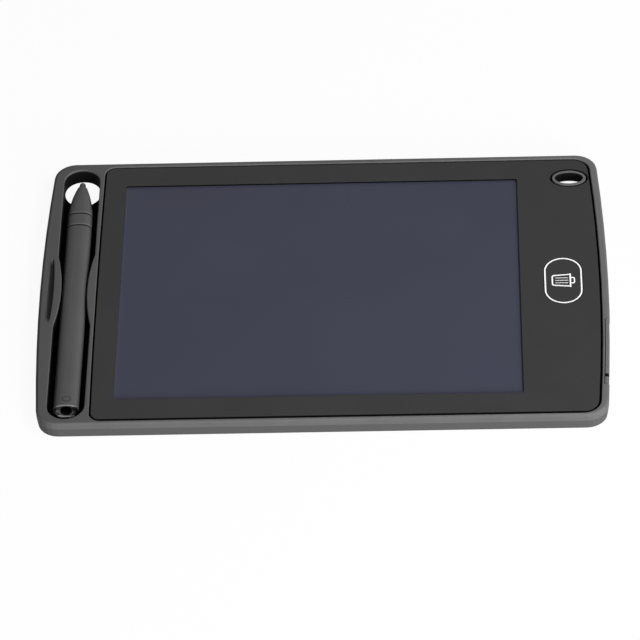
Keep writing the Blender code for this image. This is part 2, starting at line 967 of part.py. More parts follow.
def make_battery_tray(parts, cutters, material):
    """The sliding drawer: a face that completes the case, and a floor with a round pocket."""
    tray = body_block("battery_tray", parts, material, head_inset)
    zone = head_zone(bezel_near_end, bezel_far_end, head_depth)
    keep(tray, plate("bezel_zone", [zone], -overrun, body_thickness + overrun, cutters))
    wall_top = drawer_bottom + drawer_wall_height
    front = end_strip(bezel_near_end, bezel_far_end, head_depth - sunk)
    floor = [(drawer_left, bezel_near_end)] + front + [(drawer_left, bezel_far_end)]
    add(tray, plate("drawer_floor", [floor], drawer_bottom, wall_top, cutters))
    lug_left = latch_pivot_x - latch_lug_width
    lug_right = latch_pivot_x + latch_socket_lip
    lug = rectangle(lug_left, lug_right, latch_near_end, bezel_near_end + sunk)
    add(tray, plate("latch_lug", [lug], drawer_bottom, wall_top, cutters))
    socket = latch_root_diameter + 2 * latch_root_gap
    pivot = (latch_pivot_x, latch_pivot_y)
    top = wall_top + overrun
    cut(tray, cylinder("latch_socket_cut", pivot, socket, drawer_bottom - sunk, top, cutters))
    mouth = latch_arm_thickness / 2 + latch_mouth_gap
    way = rectangle(
        latch_pivot_x, lug_right + overrun, latch_pivot_y - mouth, latch_pivot_y + mouth
    )
    cut(tray, plate("latch_mouth_cut", [way], drawer_bottom - sunk, top, cutters))
    pocket_floor = cell_bottom - cell_gap
    center = (cell_center_x, cell_center_y)
    pocket = cylinder(
        "cell_pocket_cut", center, 2 * pocket_radius, pocket_floor, wall_top + overrun, cutters
    )
    cut(tray, pocket)
    notch = rectangle(
        drawer_left - overrun,
        cell_center_x - pocket_radius / 2,
        cell_center_y - drawer_back_notch / 2,
        cell_center_y + drawer_back_notch / 2,
    )
    cut(tray, plate("notch_cut", [notch], pocket_floor, wall_top + overrun, cutters))
    smooth(tray)


def make_tray_latch(parts, cutters, material):
    """The ribbed end of the drawer's face, on a thin arm that flexes towards the face."""
    latch = body_block("tray_latch", parts, material, head_inset)
    zone = head_zone(latch_near_end, latch_far_end, head_depth)
    keep(latch, plate("latch_zone", [zone], -overrun, body_thickness + overrun, cutters))
    top = drawer_bottom + drawer_wall_height
    arm_near = latch_pivot_y - latch_arm_thickness / 2
    arm_far = latch_pivot_y + latch_arm_thickness / 2
    front = end_strip(arm_near, arm_far, head_depth - sunk)
    arm = [(latch_pivot_x, arm_near)] + front + [(latch_pivot_x, arm_far)]
    add(latch, plate("latch_arm", [arm], drawer_bottom, top, cutters))
    pivot = (latch_pivot_x, latch_pivot_y)
    add(latch, cylinder("latch_root", pivot, latch_root_diameter, drawer_bottom, top, cutters))
    pitch = (latch_far_end - latch_near_end) / (latch_groove_count + 1)
    for index in range(latch_groove_count):
        y = latch_near_end + pitch * (index + 1)
        x = edge_x(y, head_inset + latch_groove_depth) + overrun / 2
        name = f"latch_groove_cut_{index + 1}"
        size = (overrun, latch_groove_width)
        cut(latch, box(name, (x, y), size, draft_height, body_thickness + overrun, cutters))
    smooth(latch)


def make_coin_cell(parts, material):
    """A plain coin cell: a can with a slightly smaller cap on top."""
    radius = cell_diameter / 2
    cap = radius - cell_cap_inset
    step = cell_height - cell_cap_step
    profile = [(0, cell_height), (cap, cell_height), (cap, step), (radius, step), (radius, 0), (0, 0)]
    cell = turned("coin_cell", profile, parts, material)
    cell.location = (cell_center_x, cell_center_y, cell_bottom)


# Stylus, turned about its own axis with the tip towards +Z, then laid along Y

def lay_in_slot(obj):
    obj.rotation_euler.x = -pi / 2
    obj.location = (slot_center_x, 0, stylus_axis_height)


def flatten(obj, cone_top, cone_bottom, core):
    """Presses the round turning into the stylus's low, square-shouldered section.

    The front of the cone stays round, and so does what lies within the core.
    """
    graph = bpy.context.evaluated_depsgraph_get()
    mesh = bpy.data.meshes.new_from_object(obj.evaluated_get(graph))
    obj.modifiers.clear()
    obj.data = mesh
    for vertex in mesh.vertices:
        x, y, z = vertex.co
        radius = hypot(x, y)
        if radius < core + merge_distance:
            continue
        share = min(max((cone_top - z) / (cone_top - cone_bottom), 0), 1)
        share = swell(share)
        squareness = 2 + (stylus_squareness - 2) * share
        ratio = 1 + (stylus_height / stylus_width - 1) * share
        across = abs(x / radius) ** (2 / squareness) * radius
        upward = abs(y / radius) ** (2 / squareness) * radius * ratio
        vertex.co = (across if x > 0 else -across, upward if y > 0 else -upward, z)


def make_stylus(parts, plastic, nib_plastic):
    radius = stylus_width / 2
    cone_top = stylus_tip_y - nib_reach
    cone_bottom = cone_top - cone_length
    collar_top = cone_bottom - seam_gap
    collar_bottom = collar_top - collar_length
    barrel_top = collar_bottom - seam_gap
    plug_bottom = barrel_end_y + plug_recess
    plug_top = plug_bottom + plug_length
    bore = radius - barrel_wall
    hole = plug_hole_diameter / 2
    cone = cone_profile(cone_top, cone_bottom, radius)
    barrel = barrel_profile(radius, bore, barrel_top, barrel_end_y)
    tubes = (
        ("stylus_cone", cone, False, nib_bore_radius),
        ("stylus_collar", tube_profile(radius, bore, collar_top, collar_bottom), True, 0),
        ("stylus_barrel", barrel, True, 0),
        ("stylus_end_plug", tube_profile(plug_diameter / 2, hole, plug_top, plug_bottom), True, hole),
    )
    for name, profile, closed, core in tubes:
        piece = turned(name, profile, parts, plastic, closed)
        bpy.context.view_layer.update()
        flatten(piece, cone_top, cone_bottom, core)
        smooth(piece)
        lay_in_slot(piece)
    lay_in_slot(turned("stylus_nib", nib_profile(cone_top), parts, nib_plastic))


def nib_profile(cone_top):
    """A round-ended nib whose shaft runs back into the cone."""
    radius = nib_diameter / 2
    shaft = nib_shaft_diameter / 2
    tip = [(radius * sin(a), stylus_tip_y - radius * (1 - cos(a))) for a in quarter_angles()]
    shoulder = cone_top + nib_gap
    back = cone_top - nib_shaft_length
    return tip + [(radius, shoulder), (shaft, shoulder), (shaft, back), (0, back)]


def quarter_angles():
    return [pi / 2 * i / nib_steps for i in range(nib_steps + 1)]


def swell(share):
    """Grows quickly at the front of the cone and levels out at its back."""
    return 1 - (1 - share) ** cone_fullness


def cone_profile(top, bottom, radius):
    """The bulged cone in front of the collar, its blind bore and its rear spigot."""
    bore_end = top - nib_shaft_length - nib_gap
    front = cone_front_diameter / 2
    side = []
    for i in range(cone_steps + 1):
        share = i / cone_steps
        side.append((front + (radius - front) * swell(share), top + (bottom - top) * share))
    spigot = spigot_diameter / 2
    back = bottom - spigot_length
    bore = [(0, bore_end), (nib_bore_radius, bore_end), (nib_bore_radius, top)]
    return bore + side + [
        (spigot, bottom),
        (spigot, back),
        (0, back),
    ]


def tube_profile(outer, inner, top, bottom):
    return [(outer, top), (outer, bottom), (inner, bottom), (inner, top)]


def barrel_profile(outer, inner, top, bottom):
    edge = outer - barrel_end_round
    return [
        (outer, top),
        (outer, bottom + barrel_end_round),
        (edge, bottom),
        (inner, bottom),
        (inner, top),
    ]


def main():
    clear_scene()
    parts = make_collection("lcd_writing_tablet")
    cutters = make_collection("cutters")
    case_plastic = make_material("case_plastic", (0.080, 0.080, 0.080), 0.45)
    panel_plastic = make_material("panel_plastic", (0.043, 0.043, 0.043), 0.60)
    film_plastic = make_material("film_plastic", (0.054, 0.058, 0.080), 0.30)
    sheet_plastic = make_material("sheet_plastic", (0.012, 0.012, 0.012), 0.50)
    foam = make_material("foam", (0.030, 0.030, 0.030), 0.95)
    tape = make_material("tape", (0.020, 0.020, 0.020), 0.80)
    board_green = make_material("board_green", (0.010, 0.120, 0.035), 0.40)
    component_black = make_material("component_black", (0.010, 0.010, 0.010), 0.50)
    ferrite = make_material("ferrite", (0.050, 0.047, 0.045), 0.60)
    ceramic = make_material("ceramic", (0.420, 0.300, 0.180), 0.50)
    amber_film = make_material("amber_film", (0.500, 0.210, 0.030), 0.35)
    nickel = make_material("nickel", (0.600, 0.590, 0.560), 0.28, 1.0)
    nib_plastic = make_material("nib_plastic", (0.075, 0.075, 0.075), 0.40)

    make_rear_shell(parts, cutters, case_plastic)
    make_front_cover(parts, cutters, panel_plastic)
    make_tape(parts, cutters, tape)
    make_screen(parts, film_plastic, sheet_plastic, foam)
    make_tail(parts, amber_film, component_black)
    make_board(parts, board_green)
    make_board_parts(parts, component_black, ferrite, ceramic)
    make_contacts(parts, nickel)
    make_erase_key(parts, cutters, panel_plastic, component_black)
    make_battery_tray(parts, cutters, case_plastic)
    make_tray_latch(parts, cutters, case_plastic)
    make_coin_cell(parts, nickel)
    make_stylus(parts, case_plastic, nib_plastic)
    bpy.context.view_layer.update()


main()
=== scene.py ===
from math import cos, radians, sin

import bpy
from mathutils import Matrix, Vector


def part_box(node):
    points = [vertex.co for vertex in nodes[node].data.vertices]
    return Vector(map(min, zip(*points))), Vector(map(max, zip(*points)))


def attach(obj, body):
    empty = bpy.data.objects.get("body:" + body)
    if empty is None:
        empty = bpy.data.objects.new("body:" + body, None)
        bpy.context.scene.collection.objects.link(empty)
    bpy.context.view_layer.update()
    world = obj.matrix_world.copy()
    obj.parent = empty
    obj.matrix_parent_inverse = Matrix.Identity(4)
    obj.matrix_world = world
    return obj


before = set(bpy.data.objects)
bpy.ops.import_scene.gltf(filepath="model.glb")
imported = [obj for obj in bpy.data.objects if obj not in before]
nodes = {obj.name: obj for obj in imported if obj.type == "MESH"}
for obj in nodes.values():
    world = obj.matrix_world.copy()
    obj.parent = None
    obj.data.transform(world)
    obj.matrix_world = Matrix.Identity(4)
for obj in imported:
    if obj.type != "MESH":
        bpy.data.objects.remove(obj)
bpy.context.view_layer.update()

mm = 0.001
print("frame loaded:", len(nodes), "nodes")

# Small helpers for building shader nodes


def calc(tree, operation, *values, clamp=False):
    node = tree.nodes.new("ShaderNodeMath")
    node.operation = operation
    node.use_clamp = clamp
    feed(tree, node, values)
    return node.outputs[0]


def feed(tree, node, values):
    for socket, value in zip(node.inputs, values):
        if isinstance(value, bpy.types.NodeSocket):
            tree.links.new(value, socket)
        else:
            socket.default_value = value


def product(tree, first, *others):
    for other in others:
        first = calc(tree, "MULTIPLY", first, other)
    return first


def awayFrom(tree, value, middle):
    return calc(tree, "ABSOLUTE", calc(tree, "SUBTRACT", value, middle))


def diagonal(tree, first, second):
    squares = [calc(tree, "POWER", side, 2.0) for side in (first, second)]
    return calc(tree, "SQRT", calc(tree, "ADD", *squares))


def ovalReach(tree, place, middle, halves):
    # 1 on the oval's outline, less inside it
    sides = [
        calc(tree, "DIVIDE", calc(tree, "SUBTRACT", value, center), half)
        for value, center, half in zip(place, middle, halves)
    ]
    return diagonal(tree, *sides)


def objectPlace(tree):
    return tree.nodes.new("ShaderNodeTexCoord").outputs["Object"]


def axes(tree, place):
    split = tree.nodes.new("ShaderNodeSeparateXYZ")
    tree.links.new(place, split.inputs[0])
    return split.outputs


def noise(tree, place, scale, detail=2.0, roughness=0.5):
    node = tree.nodes.new("ShaderNodeTexNoise")
    tree.links.new(place, node.inputs["Vector"])
    if isinstance(scale, bpy.types.NodeSocket):
        tree.links.new(scale, node.inputs["Scale"])
    else:
        node.inputs["Scale"].default_value = scale
    node.inputs["Detail"].default_value = detail
    node.inputs["Roughness"].default_value = roughness
    return node.outputs["Fac"]


def stretched(tree, place, scale):
    node = tree.nodes.new("ShaderNodeMapping")
    tree.links.new(place, node.inputs["Vector"])
    node.inputs["Scale"].default_value = scale
    return node.outputs[0]


def ramp(tree, value, low, high, toLow=0.0, toHigh=1.0):
    node = tree.nodes.new("ShaderNodeMapRange")
    node.interpolation_type = "SMOOTHSTEP"
    feed(tree, node, (value, low, high, toLow, toHigh))
    return node.outputs[0]


def mixed(tree, share, first, second):
    node = tree.nodes.new("ShaderNodeMix")
    node.data_type = "RGBA"
    for name, value in (("Factor_Float", share), ("A_Color", first), ("B_Color", second)):
        socket = next(s for s in node.inputs if s.identifier == name)
        if isinstance(value, bpy.types.NodeSocket):
            tree.links.new(value, socket)
        else:
            socket.default_value = value
    return next(s for s in node.outputs if s.identifier == "Result_Color")


def grey(value, alpha=1.0):
    return (value, value, value, alpha)


def newGroup(name, inputs, outputs):
    group = bpy.data.node_groups.new(name, "ShaderNodeTree")
    for label, kind, default in inputs:
        socket = group.interface.new_socket(name=label, in_out="INPUT", socket_type=kind)
        socket.default_value = default
    for label, kind in outputs:
        group.interface.new_socket(name=label, in_out="OUTPUT", socket_type=kind)
    return group, group.nodes.new("NodeGroupInput"), group.nodes.new("NodeGroupOutput")


def useGroup(tree, group, **values):
    node = tree.nodes.new("ShaderNodeGroup")
    node.node_tree = group
    for label, value in values.items():
        if isinstance(value, bpy.types.NodeSocket):
            tree.links.new(value, node.inputs[label])
        else:
            node.inputs[label].default_value = value
    return node.outputs


def newMaterial(name, **settings):
    material = bpy.data.materials.new(name)
    material.use_nodes = True
    tree = material.node_tree
    shader = tree.nodes["Principled BSDF"]
    for label, value in settings.items():
        shader.inputs[label.replace("_", " ")].default_value = value
    return material, tree, shader


def bumped(tree, shader, height, strength, distance, normal=None):
    bump = tree.nodes.new("ShaderNodeBump")
    bump.inputs["Strength"].default_value = strength
    bump.inputs["Distance"].default_value = distance
    tree.links.new(height, bump.inputs["Height"])
    if normal:
        tree.links.new(normal, bump.inputs["Normal"])
    tree.links.new(bump.outputs[0], shader.inputs["Normal"])


# Effects that several finishes share

def makeMouldedGrain():
    # the fine eroded texture of a moulded face, and the faint patches in its gloss
    group, given, out = newGroup(
        "mouldedGrain",
        [("Scale", "NodeSocketFloat", 3200.0), ("Patch", "NodeSocketFloat", 90.0)],
        [("Height", "NodeSocketFloat"), ("Patches", "NodeSocketFloat"), ("Speckle", "NodeSocketFloat")],
    )
    place = objectPlace(group)
    fine = noise(group, place, given.outputs["Scale"], 3.0, 0.6)
    broad = noise(group, place, given.outputs["Patch"], 4.0, 0.55)
    group.links.new(fine, out.inputs["Height"])
    group.links.new(ramp(group, broad, 0.35, 0.65), out.inputs["Patches"])
    group.links.new(ramp(group, fine, 0.3, 0.7), out.inputs["Speckle"])
    return group


def makeEdgeWearAndHighlight():
    # where a face turns into the next one, from the rounded normal, broken up by noise; the lighter tone laid
    # there is partly wear and partly a painted edge highlight
    group, given, out = newGroup(
        "edgeWearAndHighlight",
        [("Reach", "NodeSocketFloat", 0.15 * mm), ("Break", "NodeSocketFloat", 700.0)],
        [("WornAndLit", "NodeSocketFloat"), ("Rounded", "NodeSocketVector")],
    )
    bevel = group.nodes.new("ShaderNodeBevel")
    bevel.samples = 6
    group.links.new(given.outputs["Reach"], bevel.inputs["Radius"])
    geometry = group.nodes.new("ShaderNodeNewGeometry")
    dot = group.nodes.new("ShaderNodeVectorMath")
    dot.operation = "DOT_PRODUCT"
    group.links.new(bevel.outputs[0], dot.inputs[0])
    group.links.new(geometry.outputs["Normal"], dot.inputs[1])
    edge = ramp(group, dot.outputs["Value"], 0.995, 0.80, 0.0, 1.0)
    patchy = ramp(group, noise(group, objectPlace(group), given.outputs["Break"], 3.0), 0.42, 0.62)
    group.links.new(calc(group, "MULTIPLY", edge, patchy), out.inputs["WornAndLit"])
    group.links.new(bevel.outputs[0], out.inputs["Rounded"])
    return group


def makeFineDust():
    # single specks, one in a few cells, each a different size
    group, given, out = newGroup(
        "fineDust",
        [
            ("Scale", "NodeSocketFloat", 300.0), ("Size", "NodeSocketFloat", 0.035),
            ("Share", "NodeSocketFloat", 0.3),
        ],
        [("Speck", "NodeSocketFloat")],
    )
    cells = group.nodes.new("ShaderNodeTexVoronoi")
    group.links.new(objectPlace(group), cells.inputs["Vector"])
    group.links.new(given.outputs["Scale"], cells.inputs["Scale"])
    split = group.nodes.new("ShaderNodeSeparateColor")
    group.links.new(cells.outputs["Color"], split.inputs[0])
    chosen = calc(group, "LESS_THAN", split.outputs[0], given.outputs["Share"])
    radius = calc(group, "MULTIPLY", split.outputs[1], given.outputs["Size"])
    near = calc(group, "LESS_THAN", cells.outputs["Distance"], radius)
    group.links.new(calc(group, "MULTIPLY", chosen, near), out.inputs["Speck"])
    return group


# painted shade: where walls, slots and gaps inside the case are painted near-black
caseForm = {
    "endBow": 1.6 * mm, "cornerRadius": 5.0 * mm, "skin": 0.55 * mm, "skinBlur": 0.1 * mm,
    "clearAbove": 4.34 * mm, "darkBelow": 3.7 * mm, "back": 0.10 * mm, "backBlur": 0.2 * mm,
    "slotLeft": -61.2 * mm, "slotBlur": 0.05 * mm,
}
caseLow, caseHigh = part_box("rear_shell")


def makeInsideShade():
    # painted shade: how far a place lies inside the bowed, round-cornered outline, and how deep below the
    # top, so that walls, slots and gaps are painted near-black
    form = caseForm
    outputs = [("Inside", "NodeSocketFloat"), ("Inward", "NodeSocketFloat")]
    group, _, out = newGroup("insideShade", [], outputs)
    x, y, z = axes(group, objectPlace(group))
    radius = form["cornerRadius"]
    bow = calc(group, "MULTIPLY", calc(group, "POWER", y, 2.0), form["endBow"] / caseHigh.y ** 2)
    endward = calc(group, "ADD", calc(group, "ABSOLUTE", x), bow)
    endward = calc(group, "SUBTRACT", endward, caseHigh.x - radius)
    sideward = calc(group, "SUBTRACT", calc(group, "ABSOLUTE", y), caseHigh.y - radius)
    corner = diagonal(group, *(calc(group, "MAXIMUM", part, 0.0) for part in (endward, sideward)))
    flat = calc(group, "MINIMUM", calc(group, "MAXIMUM", endward, sideward), 0.0)
    inward = calc(group, "SUBTRACT", radius, calc(group, "ADD", corner, flat))
    within = ramp(group, inward, form["skin"] - form["skinBlur"], form["skin"] + form["skinBlur"])
    deep = ramp(group, z, form["clearAbove"], form["darkBelow"])
    aboveBack = ramp(group, z, form["back"], form["back"] + form["backBlur"])
    inSlot = ramp(group, x, form["slotLeft"] - form["slotBlur"], form["slotLeft"] + form["slotBlur"])
    group.links.new(product(group, within, deep, aboveBack, inSlot), out.inputs["Inside"])
    group.links.new(inward, out.inputs["Inward"])
    return group


mouldedGrain = makeMouldedGrain()
edgeWearAndHighlight = makeEdgeWearAndHighlight()
fineDust = makeFineDust()
insideShade = makeInsideShade()
print("shared effects built")

# Moulded plastics

caseFinish = {
    # the worn colour lightens the edges: partly wear, partly a painted highlight
    "color": 0.082, "patchColor": 0.089, "wornAndHighlightColor": 0.16, "dustColor": 0.16,
    "roughness": 0.50, "specular": 0.10, "grainDepth": 0.012 * mm, "edgeReach": 0.14 * mm,
    # on the next line, the lower band's colour and the near-black inside colour are painted shade
    "footShadeColor": 0.063, "footTop": 2.6 * mm, "footBlur": 0.06 * mm, "insideShadeColor": 0.001,
    # on the next line, painted light and shade: the left rim darker, the right rim lighter, the left wall and
    # left edge darker
    "rimLeftShadeColor": 0.068, "rimRightLightColor": 0.115, "leftWallShadeColor": 0.046, "leftEdgeShadeColor": 0.016,
    "grooveColor": 0.008, "notchColor": 0.004,
}
mouldedLook = {
    "wornAndLitShare": 0.6, "patchGloss": 0.06, "speckleGloss": 0.05, "wornGloss": -0.08, "bump": 0.5,
    "dust": {"Scale": 260.0, "Size": 0.03, "Share": 0.16},
}


def makeMoulded(name, finish, layers=(), relief=None):
    # each layer is a mask, its colour and how much it dulls the surface
    look = mouldedLook
    material, tree, shader = newMaterial(name, Specular_IOR_Level=finish["specular"])
    grain = useGroup(tree, mouldedGrain)
    wearAndLight = useGroup(tree, edgeWearAndHighlight, Reach=finish["edgeReach"])
    dust = useGroup(tree, fineDust, **look["dust"])
    color = mixed(tree, grain["Patches"], grey(finish["color"]), grey(finish["patchColor"]))
    # edges lighter: partly wear, partly a painted highlight
    color = mixed(tree, calc(tree, "MULTIPLY", wearAndLight["WornAndLit"], look["wornAndLitShare"]), color, grey(finish["wornAndHighlightColor"]))
    color = mixed(tree, dust["Speck"], color, grey(finish["dustColor"]))
    base = finish["roughness"] - look["patchGloss"] / 2
    gloss = calc(tree, "MULTIPLY_ADD", grain["Patches"], look["patchGloss"], base)
    gloss = calc(tree, "MULTIPLY_ADD", grain["Speckle"], look["speckleGloss"], gloss)
    gloss = calc(tree, "MULTIPLY_ADD", wearAndLight["WornAndLit"], look["wornGloss"], gloss)
    for mask, tone, dulled in layers:
        share = mask(tree)
        color = mixed(tree, share, color, grey(tone))
        gloss = calc(tree, "MULTIPLY_ADD", share, dulled, gloss)
    tree.links.new(color, shader.inputs["Base Color"])
    tree.links.new(gloss, shader.inputs["Roughness"])
    height = grain["Height"]
    if relief:
        height = calc(tree, "ADD", height, relief(tree))
    bumped(tree, shader, height, look["bump"], finish["grainDepth"], wearAndLight["Rounded"])
    return material


# painted near-black shade inside the case
def caseInsideShade(tree):
    return useGroup(tree, insideShade)["Inside"]


def caseFootShade(tree):
    # painted shade on the lower half of the case, below the line where the mould parts
    top, blur = caseFinish["footTop"], caseFinish["footBlur"]
    return ramp(tree, axes(tree, objectPlace(tree))[2], top + blur, top - blur)


# painted light and shade on the rim's top: darker towards the left end, lighter towards the right
rimForm = {
    "top": 4.3 * mm, "topBlur": 0.05 * mm, "leftFrom": -38 * mm, "leftTo": -66 * mm, "rightTo": 70 * mm,
}


def rimTop(tree, z):
    return ramp(tree, z, rimForm["top"] - rimForm["topBlur"], rimForm["top"] + rimForm["topBlur"])


# painted shade, darker towards the left end
def rimLeftShade(tree):
    x, _, z = axes(tree, objectPlace(tree))
    return product(tree, ramp(tree, x, rimForm["leftFrom"], rimForm["leftTo"]), rimTop(tree, z))


# painted light, lighter towards the right end
def rimRightLight(tree):
    x, _, z = axes(tree, objectPlace(tree))
    return product(tree, ramp(tree, x, 0.0, rimForm["rightTo"]), rimTop(tree, z))


# Painted shade on the left end: each pair is where the tone starts and where it is full
leftForm = {
    "edgeInward": (0.80 * mm, 0.28 * mm), "edgeFromEnd": (5 * mm, 3 * mm),
    "edgeHeight": (3.85 * mm, 4.10 * mm), "edgeAlong": (-40.5 * mm, -37.0 * mm),
    "wallHeight": (4.25 * mm, 3.9 * mm), "wallFromEnd": (4.6 * mm, 1.2 * mm),
}


def leftEdgeShade(tree):
    # painted shade on the rounded edge along the left end
    x, y, z = axes(tree, objectPlace(tree))
    band = ramp(tree, useGroup(tree, insideShade)["Inward"], *leftForm["edgeInward"])
    left = ramp(tree, calc(tree, "SUBTRACT", x, caseLow.x), *leftForm["edgeFromEnd"])
    upper = ramp(tree, z, *leftForm["edgeHeight"])
    return product(tree, band, left, upper, ramp(tree, y, *leftForm["edgeAlong"]))


# painted shade on the left end below its top
def leftWallShade(tree):
    x, _, z = axes(tree, objectPlace(tree))
    left = ramp(tree, calc(tree, "SUBTRACT", x, caseLow.x), *leftForm["wallFromEnd"])
    return product(tree, ramp(tree, z, *leftForm["wallHeight"]), left)


grooveForm = {
    "fromEnd": 2.32 * mm, "halfWidth": 0.85 * mm, "core": 0.10 * mm, "halfLength": 10.8 * mm,
    "fade": 2.4 * mm, "above": 3.3 * mm,
}


def grooveShade(tree):
    # the shallow groove behind the outer cheek, darkest along its middle
    x, y, z = axes(tree, objectPlace(tree))
    aside = awayFrom(tree, x, caseLow.x + grooveForm["fromEnd"])
    across = ramp(tree, aside, grooveForm["halfWidth"], grooveForm["core"])
    end = grooveForm["halfLength"]
    along = ramp(tree, calc(tree, "ABSOLUTE", y), end, end - grooveForm["fade"])
    return product(tree, across, along, calc(tree, "GREATER_THAN", z, grooveForm["above"]))


lanyardForm = {
    "middle": (56.75 * mm, 34.95 * mm), "halves": (3.10 * mm, 1.75 * mm), "panelEdge": 1.2 * mm,
    "wallReach": (1.10, 1.03), "panelReach": (1.05, 1.03),
}


def lanyardReach(tree, growth):
    # 1 on the oval outline of the hole, grown outwards
    halves = [half + growth for half in lanyardForm["halves"]]
    return ovalReach(tree, axes(tree, objectPlace(tree)), lanyardForm["middle"], halves)


# painted shade on the wall of the lanyard hole
def lanyardWallShade(tree):
    return ramp(tree, lanyardReach(tree, 0.0), *lanyardForm["wallReach"])


notchForm = {"y": -30.6 * mm, "half": 0.53 * mm, "blur": 0.08 * mm, "along": (63.85 * mm, 63.45 * mm)}


def notchShade(tree):
    # the gap between the drawer's face and its latch
    x, y, _ = axes(tree, objectPlace(tree))
    half = notchForm["half"]
    band = ramp(tree, awayFrom(tree, y, notchForm["y"]), half, half - notchForm["blur"])
    return product(tree, band, ramp(tree, x, *notchForm["along"]))


stylusFinish = {
    **caseFinish, "color": 0.068, "patchColor": 0.073, "roughness": 0.46, "gateColor": 0.022,
    # on the next line, painted shade on the cone's flanks and in the seams, painted highlight on the seams'
    # far edges
    "coneColor": 0.012, "seamShadeColor": 0.004, "seamHighlightColor": 0.105,
    # on the next line, painted highlights on the end's top and lower lips, painted shade on its face
    "endLipHighlightColor": 0.125, "endFaceShadeColor": 0.008, "endFloorHighlightColor": 0.30,
}
stylusForm = {
    "squareness": 2.5, "skin": 0.10 * mm, "skinBlurShare": 0.008, "coneFrom": (0.06 * mm, 0.02 * mm),
    "seam": 0.2 * mm, "seamHalf": 0.22 * mm, "seamBlur": 0.06 * mm, "seamHighlight": 0.85 * mm,
    "recess": 0.45 * mm, "recessBlur": 0.05 * mm,
}
barrelLow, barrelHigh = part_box("stylus_barrel")
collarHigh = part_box("stylus_collar")[1]
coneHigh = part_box("stylus_cone")[1]
seams = (barrelHigh.y + stylusForm["seam"] / 2, collarHigh.y + stylusForm["seam"] / 2)
stylusX, stylusZ = (barrelLow.x + barrelHigh.x) / 2, (barrelLow.z + barrelHigh.z) / 2
stylusHalf = (barrelHigh.x - barrelLow.x) / 2
stylusRise = (barrelHigh.z - barrelLow.z) / 2


def past(tree, value, start, reach):
    # a soft step, both of its places given from one start
    return ramp(tree, calc(tree, "SUBTRACT", value, start), *reach)


def stylusInsideShade(tree):
    # painted shade on everything under the stylus's skin, as the open end shows it
    x, y, z = axes(tree, objectPlace(tree))
    across = calc(tree, "ABSOLUTE", calc(tree, "DIVIDE", calc(tree, "SUBTRACT", x, stylusX), stylusHalf))
    upward = calc(tree, "ABSOLUTE", calc(tree, "DIVIDE", calc(tree, "SUBTRACT", z, stylusZ), stylusRise))
    power = stylusForm["squareness"]
    total = calc(tree, "ADD", calc(tree, "POWER", across, power), calc(tree, "POWER", upward, power))
    edge, blur = 1.0 - stylusForm["skin"] / stylusHalf, stylusForm["skinBlurShare"]
    deep = ramp(tree, calc(tree, "POWER", total, 1.0 / power), edge + blur, edge - blur)
    behind = past(tree, y, collarHigh.y + stylusForm["seam"], stylusForm["coneFrom"])
    mouth = past(tree, y, barrelLow.y + stylusForm["recess"], (0.0, stylusForm["recessBlur"]))
    return product(tree, deep, behind, mouth)


# painted shade in the seams between the stylus's pieces
def seamShade(tree):
    y = axes(tree, objectPlace(tree))[1]
    aside = [awayFrom(tree, y, seam) for seam in seams]
    half = stylusForm["seamHalf"]
    return ramp(tree, calc(tree, "MINIMUM", *aside), half, half - stylusForm["seamBlur"])


def seamHighlight(tree):
    # painted highlight on the edge on the far side of each seam
    y = axes(tree, objectPlace(tree))[1]
    lips = []
    for seam in seams:
        beyond = calc(tree, "SUBTRACT", y, seam)
        rise = ramp(tree, beyond, 0.0, stylusForm["seamHalf"])
        fall = ramp(tree, beyond, 0.5 * stylusForm["seamHighlight"], stylusForm["seamHighlight"], 1.0, 0.0)
        lips.append(product(tree, rise, fall))
    return calc(tree, "MAXIMUM", *lips)


# The open end, painted light and shade: how far each tone reaches along it, and the heights from the axis it
# grows between
endForm = {
    "lip": (0.18 * mm, (1.20 * mm, 1.45 * mm)), "face": (0.10 * mm, (1.50 * mm, 1.35 * mm)),
    "floor": (0.50 * mm, (-1.20 * mm, -1.45 * mm)), "floorFoot": (-1.84 * mm, -1.76 * mm),
    "coreShare": 0.8,
}


def endBand(reach, heights):
    def mask(tree):
        _, y, z = axes(tree, objectPlace(tree))
        end = past(tree, y, barrelLow.y, (reach, endForm["coreShare"] * reach))
        return product(tree, end, past(tree, z, stylusZ, heights))
    return mask


def endFloorHighlight(tree):
    # painted highlight on the lower lip of the open end, where it catches the light
    foot = past(tree, axes(tree, objectPlace(tree))[2], stylusZ, endForm["floorFoot"])
    return product(tree, endBand(*endForm["floor"])(tree), foot)


def flanks(tree, turn):
    # where a round piece that lies along y turns sideways
    normal = tree.nodes.new("ShaderNodeNewGeometry").outputs["Normal"]
    return ramp(tree, calc(tree, "ABSOLUTE", axes(tree, normal)[0]), *turn)


tipForm = {
    "coneAlong": (0.8 * mm, 3.5 * mm), "coneTurn": (0.70, 0.93),
    "nibNeck": (0.50 * mm, 0.15 * mm), "nibNeckShare": 0.8, "nibTurn": (0.45, 0.85),
}


def coneShade(tree):
    y = axes(tree, objectPlace(tree))[1]
    return product(tree, past(tree, y, collarHigh.y, tipForm["coneAlong"]), flanks(tree, tipForm["coneTurn"]))


def nibShade(tree):
    # the flanks of the nib, and its foot inside the cone's mouth
    y = axes(tree, objectPlace(tree))[1]
    neck = product(tree, past(tree, y, coneHigh.y, tipForm["nibNeck"]), tipForm["nibNeckShare"])
    return calc(tree, "MAXIMUM", flanks(tree, tipForm["nibTurn"]), neck)


gateMark = {
    "side": 0.12 * mm, "fromEnd": 2.05 * mm, "halves": (0.95 * mm, 0.80 * mm),
    "rise": (0.70, 0.90), "fall": (0.95, 1.15), "relief": -8.0,
}


